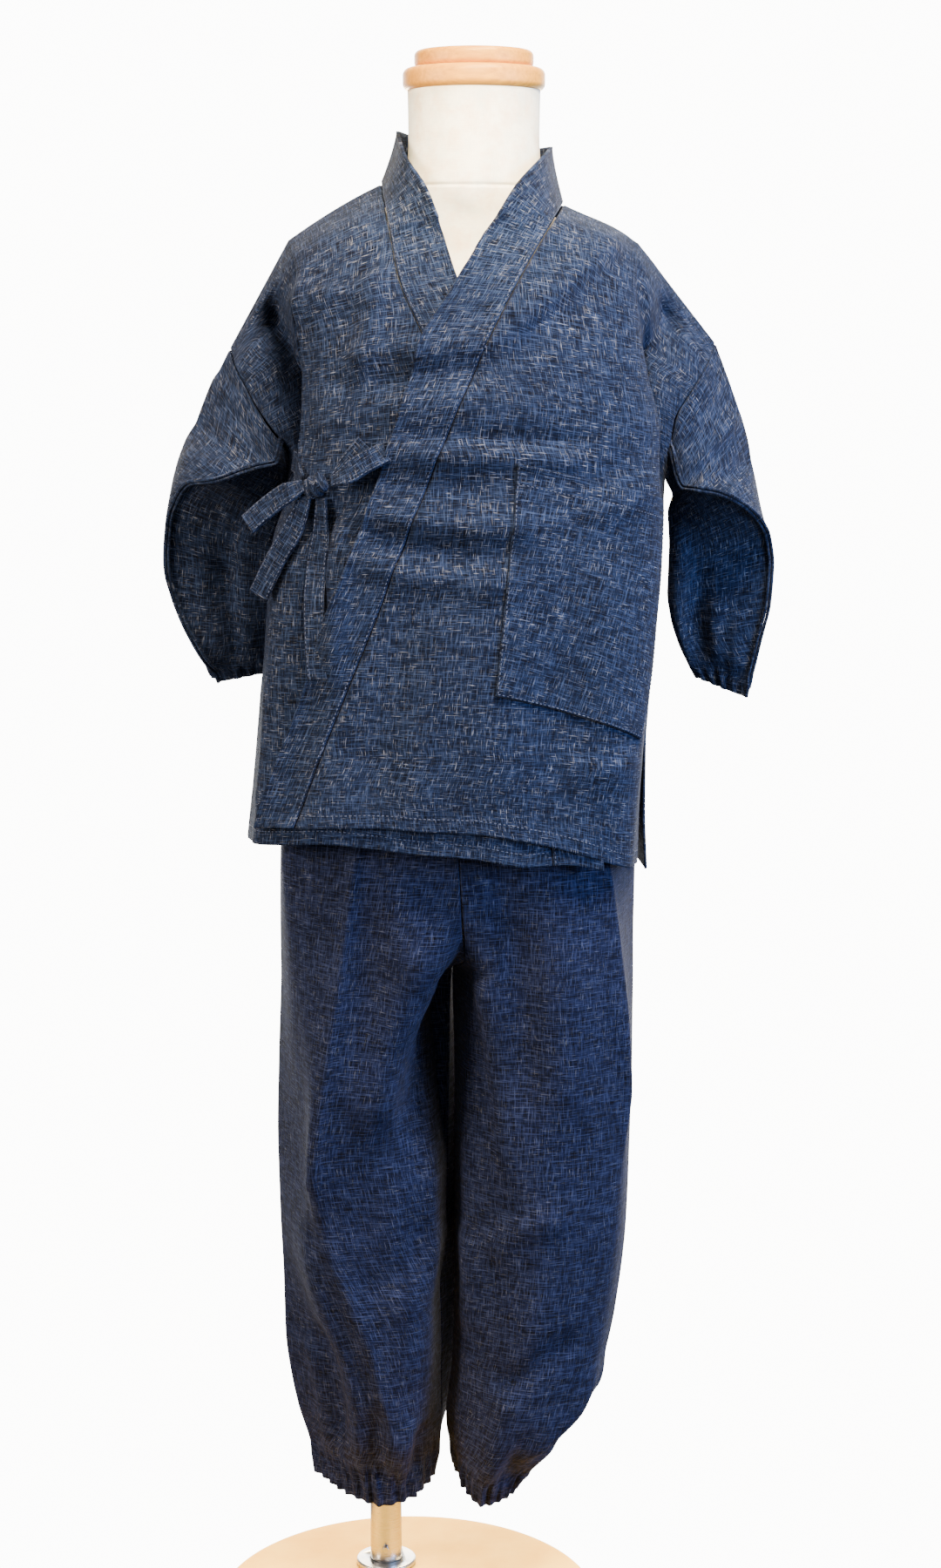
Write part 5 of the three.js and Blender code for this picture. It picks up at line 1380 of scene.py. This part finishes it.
def noise(nodes, vector, scale, detail=2.0, seed=0):
    """Noise with its features about 1/scale millimetres apart; scale may differ by axis."""
    mapped = nodes.add("ShaderNodeMapping", {"Vector": vector, "Scale": scale,
                                             "Location": (seed * 7.3, seed * 3.1, seed * 1.7)})
    return nodes.add("ShaderNodeTexNoise", {"Vector": mapped.outputs["Vector"], "Scale": 1.0,
                                            "Detail": detail, "Roughness": 0.6}).outputs["Fac"]


def ramp(nodes, value, low, high, to_min=0.0, to_max=1.0):
    return nodes.add("ShaderNodeMapRange", {"Value": value, "From Min": low, "From Max": high,
                                            "To Min": to_min, "To Max": to_max}).outputs["Result"]


def math_node(nodes, operation, a, b):
    return nodes.add("ShaderNodeMath", {0: a, 1: b}, operation=operation).outputs["Value"]


def mix(nodes, share, a, b):
    """A blend of two colours, each a socket or a screen colour."""
    node = nodes.add("ShaderNodeMix", data_type="RGBA")
    for index, value in ((0, share), (6, a), (7, b)):
        nodes.set(node, index, hex_linear(value) if isinstance(value, str) else value)
    return node.outputs[2]


def bump(nodes, height, distance_mm, strength):
    return nodes.add("ShaderNodeBump", {"Height": height, "Distance": distance_mm * MM,
                                        "Strength": strength}).outputs["Normal"]


def in_millimetres(nodes):
    place = nodes.add("ShaderNodeTexCoord").outputs["Object"]
    return nodes.add("ShaderNodeVectorMath", {0: place, "Scale": 1000.0},
                     operation="SCALE").outputs["Vector"]


# Indigo cotton woven from uneven yarn: dark ground, a fine light crosshatch, pale slubs. The
# trousers are cut from a more even length of it.
INK = "#03040a"
FLECK = "#999ba2"


def slub_cotton(name, ground_colour, thread_colour, slubs):
    nodes = Nodes(name)
    uv = nodes.add("ShaderNodeUVMap", uv_map="cloth").outputs["UV"]
    warp = noise(nodes, uv, (1.5, 0.09, 1), 2.0, 1)
    weft = noise(nodes, uv, (0.08, 1.5, 1), 2.0, 2)
    warp_slub = noise(nodes, uv, (1.6, 0.11, 1), 1.0, 3)
    weft_slub = noise(nodes, uv, (0.12, 1.7, 1), 1.0, 4)
    patch = noise(nodes, uv, (0.04, 0.03, 1), 4.0, 5)
    threads = math_node(nodes, "ADD", warp, weft)
    ground = mix(nodes, ramp(nodes, threads, 0.78, 1.24), INK, ground_colour)
    fine = math_node(nodes, "MAXIMUM", *(ramp(nodes, one, 0.56, 0.74) for one in (warp, weft)))
    ground = mix(nodes, math_node(nodes, "MULTIPLY", fine, 0.5), ground, thread_colour)
    pale = math_node(nodes, "MAXIMUM", ramp(nodes, warp_slub, 0.64, 0.76),
                     ramp(nodes, weft_slub, 0.65, 0.77))
    pale = math_node(nodes, "MULTIPLY", pale, ramp(nodes, patch, 0.36, 0.68, 0.25 * slubs, slubs))
    colour = mix(nodes, pale, ground, FLECK)
    height = math_node(nodes, "ADD", threads, math_node(nodes, "MULTIPLY", pale, 0.6))
    return nodes.finish(**{"Base_Color": colour, "Roughness": 0.93, "Specular_IOR_Level": 0.08,
                           "Sheen_Weight": 0.02, "Sheen_Roughness": 0.5,
                           "Normal": bump(nodes, height, 0.5, 0.7)})


def sewing_thread():
    """Polyester-cotton thread, a shade lighter than the cloth, with a little wear."""
    nodes = Nodes("sewing_thread")
    worn = noise(nodes, in_millimetres(nodes), (0.12, 0.12, 0.12), 2.0, 1)
    colour = mix(nodes, ramp(nodes, worn, 0.35, 0.65), "#262d3f", "#4c5468")
    return nodes.finish(Base_Color=colour, Roughness=0.7)


def linen_cover():
    """Undyed linen canvas, stretched over the padding, with faint stains."""
    nodes = Nodes("linen_cover")
    place = in_millimetres(nodes)
    uv = nodes.add("ShaderNodeUVMap", uv_map="cloth").outputs["UV"]
    weave = math_node(nodes, "ADD", noise(nodes, uv, (1.6, 0.12, 1), 3.0, 1),
                      noise(nodes, uv, (0.12, 1.6, 1), 3.0, 2))
    warm = ramp(nodes, noise(nodes, place, (0.07, 0.07, 0.07), 3.0, 3), 0.42, 0.68)
    green = ramp(nodes, noise(nodes, place, (0.06, 0.06, 0.06), 3.0, 6), 0.46, 0.70)
    colour = mix(nodes, warm, "#fff7de", "#f2d9b4")
    colour = mix(nodes, math_node(nodes, "MULTIPLY", green, 0.7), colour, "#e4e4cf")
    colour = mix(nodes, ramp(nodes, weave, 0.75, 1.3, 0.25, 0.0), colour, "#d8cbb4")
    return nodes.finish(Base_Color=colour, Roughness=0.88, Normal=bump(nodes, weave, 0.35, 0.5))


def pale_wood():
    """Turned maple under clear satin varnish, its grain running across the caps."""
    nodes = Nodes("varnished_maple")
    place = in_millimetres(nodes)
    grain = noise(nodes, place, (0.02, 0.5, 0.35), 5.0, 1)
    pores = noise(nodes, place, (0.12, 2.4, 2.0), 2.0, 2)
    colour = mix(nodes, ramp(nodes, grain, 0.3, 0.7), "#dc9826", "#bb791e")
    colour = mix(nodes, ramp(nodes, pores, 0.55, 0.8, 0, 0.35), colour, "#a9753c")
    return nodes.finish(Base_Color=colour, Roughness=ramp(nodes, grain, 0.3, 0.7, 0.42, 0.55),
                        Specular_IOR_Level=0.3, Coat_Weight=0.04, Coat_Roughness=0.2,
                        Normal=bump(nodes, pores, 0.1, 0.15))


def brushed_steel():
    """Bright steel drawn through a brush, with fine lines round the tube."""
    nodes = Nodes("brushed_steel")
    lines = noise(nodes, in_millimetres(nodes), (0.05, 0.05, 5.0), 3.0, 1)
    return nodes.finish(Base_Color=mix(nodes, lines, "#8f8f90", "#d6d4d0"),
                        Metallic=1.0, Roughness=ramp(nodes, lines, 0.3, 0.7, 0.22, 0.42),
                        Normal=bump(nodes, lines, 0.02, 0.2))


def cream_enamel():
    """Stove enamel on steel, with the slight orange peel of a sprayed coat."""
    nodes = Nodes("cream_enamel")
    place = in_millimetres(nodes)
    peel = noise(nodes, place, (0.5, 0.5, 0.5), 2.0, 1)
    dust = noise(nodes, place, (0.03, 0.03, 0.03), 4.0, 2)
    colour = mix(nodes, ramp(nodes, dust, 0.35, 0.7), "#ffc84c", "#f5b842")
    return nodes.finish(Base_Color=colour, Roughness=ramp(nodes, dust, 0.3, 0.7, 0.7, 0.85),
                        Specular_IOR_Level=0.2, Normal=bump(nodes, peel, 0.05, 0.12))


indigo, thread = slub_cotton("indigo_slub_cotton", "#19263f", "#47536b", 0.75), sewing_thread()
indigo_even = slub_cotton("indigo_even_cotton", "#1b2340", "#444b64", 0.3)
trouser_pieces = [piece for name, piece in CLOTH_PIECES.items()
                  if name.startswith(("trouser", "waist"))]
jacket_pieces = [piece for piece in CLOTH_PIECES.values() if piece not in trouser_pieces]
jacket_pieces += [knot, *WELTS["right"], *WELTS["left"]]
stitch_pieces = [FRONT_STITCHES, POCKET_STITCHES, *STRAP_STITCHES.values()]
steel = brushed_steel()
for pieces, material in [
        (jacket_pieces, indigo), (trouser_pieces, indigo_even), (stitch_pieces, thread),
        ([form], linen_cover()), ([cap_low, cap_high], pale_wood()),
        ([pole_piece, flange_piece, screw_piece], steel), ([plate_piece], cream_enamel())]:
    for piece in pieces:
        piece.data.materials.clear()
        piece.data.materials.append(material)
    print(material.name, "on", len(pieces), "pieces")

# %% [markdown]
# ## Each sheet against its cut
# Each piece of cloth with the size of the rectangle its cut fits in, in millimetres, the cut's
# own area where it isn't that rectangle, how it is held, and what it rests on.

# %% Cloth table
SHEETS = {
    "jacket_front_left": (340, 540, 0.122, "hung", ["form_torso"]),
    "jacket_front_right": (320, 540, 0.113, "hung", ["form_torso"]),
    "jacket_back": (430, 530, 0.210, "hung", ["form_torso"]),
    "collar": (40, 1200, None, "hung", ["jacket_front_left", "jacket_front_right"]),
    "pocket": (130, 190, None, "laid", ["jacket_front_left"]),
    "sleeve_right": (330, 190, 0.058, "hung", ["jacket_front_right"]),
    "sleeve_left": (330, 190, 0.059, "hung", ["jacket_front_left"]),
    "trouser_front_right": (250, 640, 0.143, "hung", ["waistband"]),
    "trouser_back_right": (250, 640, 0.140, "hung", ["waistband"]),
    "trouser_front_left": (250, 640, 0.135, "hung", ["waistband"]),
    "trouser_back_left": (250, 640, 0.143, "hung", ["waistband"]),
    "waistband": (620, 24, None, "gathered", ["form_torso"]),
    "tie_strap_lap": (17, 50, None, "stretched", ["jacket_front_left", "tie_knot"]),
    "tie_strap_side": (17, 55, None, "stretched", ["jacket_front_right", "tie_knot"]),
    "tie_loop_right": (17, 34, None, "hung", ["tie_knot"]),
    "tie_loop_left": (17, 55, None, "hung", ["tie_knot"]),
    "tie_tail_short": (17, 85, None, "hung", ["tie_knot"]),
    "tie_tail_long": (17, 132, None, "hung", ["tie_knot"]),
}
for sheet_name, (width, length, cut_area, held, rests) in SHEETS.items():
    grid, closed = SHEET_GRIDS[sheet_name]
    share = sheet_area(grid, closed) / (cut_area or width * length * MM * MM)
    print(f"{sheet_name}: cut {width} x {length} mm, cloth over cut {share:.2f}")

# %% [markdown]
# ## Room, light and camera

# %% Camera and light
CAMERA_PLACE, CAMERA_DOWN = (0.050, -2.046, 0.999), 9.2
LENS, SENSOR_HIGH = 63, 36
SPOT_SOFTNESS, SPOT_BLEND = 0.08, 0.7
BEHIND_Y, VIEWER_TO_BEHIND = (0.78, 0.89), (0.42, 14.0)

scene = bpy.context.scene


def link(item):
    scene.collection.objects.link(item)
    return item


camera_data = bpy.data.cameras.new("camera")
camera_data.sensor_fit = "VERTICAL"
camera_data.sensor_height = SENSOR_HIGH
camera_data.lens = LENS
camera = link(bpy.data.objects.new("camera", camera_data))
camera.location = CAMERA_PLACE
camera.rotation_euler = (math.radians(90 - CAMERA_DOWN), 0, 0)
scene.camera = camera


def area_light(name, place, target, size, power, colour):
    data = bpy.data.lights.new(name, "AREA")
    data.size = size
    data.energy = power
    data.color = hex_linear(colour)[:3]
    light = link(bpy.data.objects.new(name, data))
    light.location = place
    light.rotation_euler = (Vector(target) - Vector(place)).to_track_quat("-Z", "Y").to_euler()
    return light


def spot_light(name, place, target, degrees, power, colour):
    light = area_light(name, place, target, 0.1, power, colour)
    data = bpy.data.lights.new(name, "SPOT")
    data.energy, data.color, data.shadow_soft_size = power, hex_linear(colour)[:3], SPOT_SOFTNESS
    data.spot_size, data.spot_blend = math.radians(degrees), SPOT_BLEND
    light.data = data
    return light


area_light("ceiling", (0.5, -0.75, 2.4), (0.05, 0, 0.8), 0.7, 158, "#ffeedb")
area_light("window", (1.9, -1.1, 1.1), (0.05, 0, 0.7), 0.9, 112, "#8fb7f6")
area_light("lamp", (-1.8, -1.0, 1.15), (0.0, 0, 0.4), 0.7, 74, "#ffeede")
area_light("floor_wash", (0.0, 0.8, 1.0), (0.0, 0.0, 0.0), 0.4, 60, "#ffe0a6")
spot_light("neck_spot", (0.05, -1.25, 1.75), (0.0525, 0, 1.112), 6.2, 900, "#ffedc8")


def room_world():
    """White behind the form, and dim around the viewer."""
    world = bpy.data.worlds.new("room")
    world.use_nodes = True
    tree = world.node_tree
    background = tree.nodes["Background"]
    direction = tree.nodes.new("ShaderNodeTexCoord").outputs["Generated"]
    split = tree.nodes.new("ShaderNodeSeparateXYZ")
    tree.links.new(direction, split.inputs["Vector"])
    spread_out = tree.nodes.new("ShaderNodeMapRange")
    tree.links.new(split.outputs["Y"], spread_out.inputs["Value"])
    ends = ("From Min", "From Max", "To Min", "To Max")
    for key, value in zip(ends, BEHIND_Y + VIEWER_TO_BEHIND):
        spread_out.inputs[key].default_value = value
    tree.links.new(spread_out.outputs["Result"], background.inputs["Strength"])
    background.inputs["Color"].default_value = hex_linear("#f4f3f1")
    return world


scene.world = room_world()
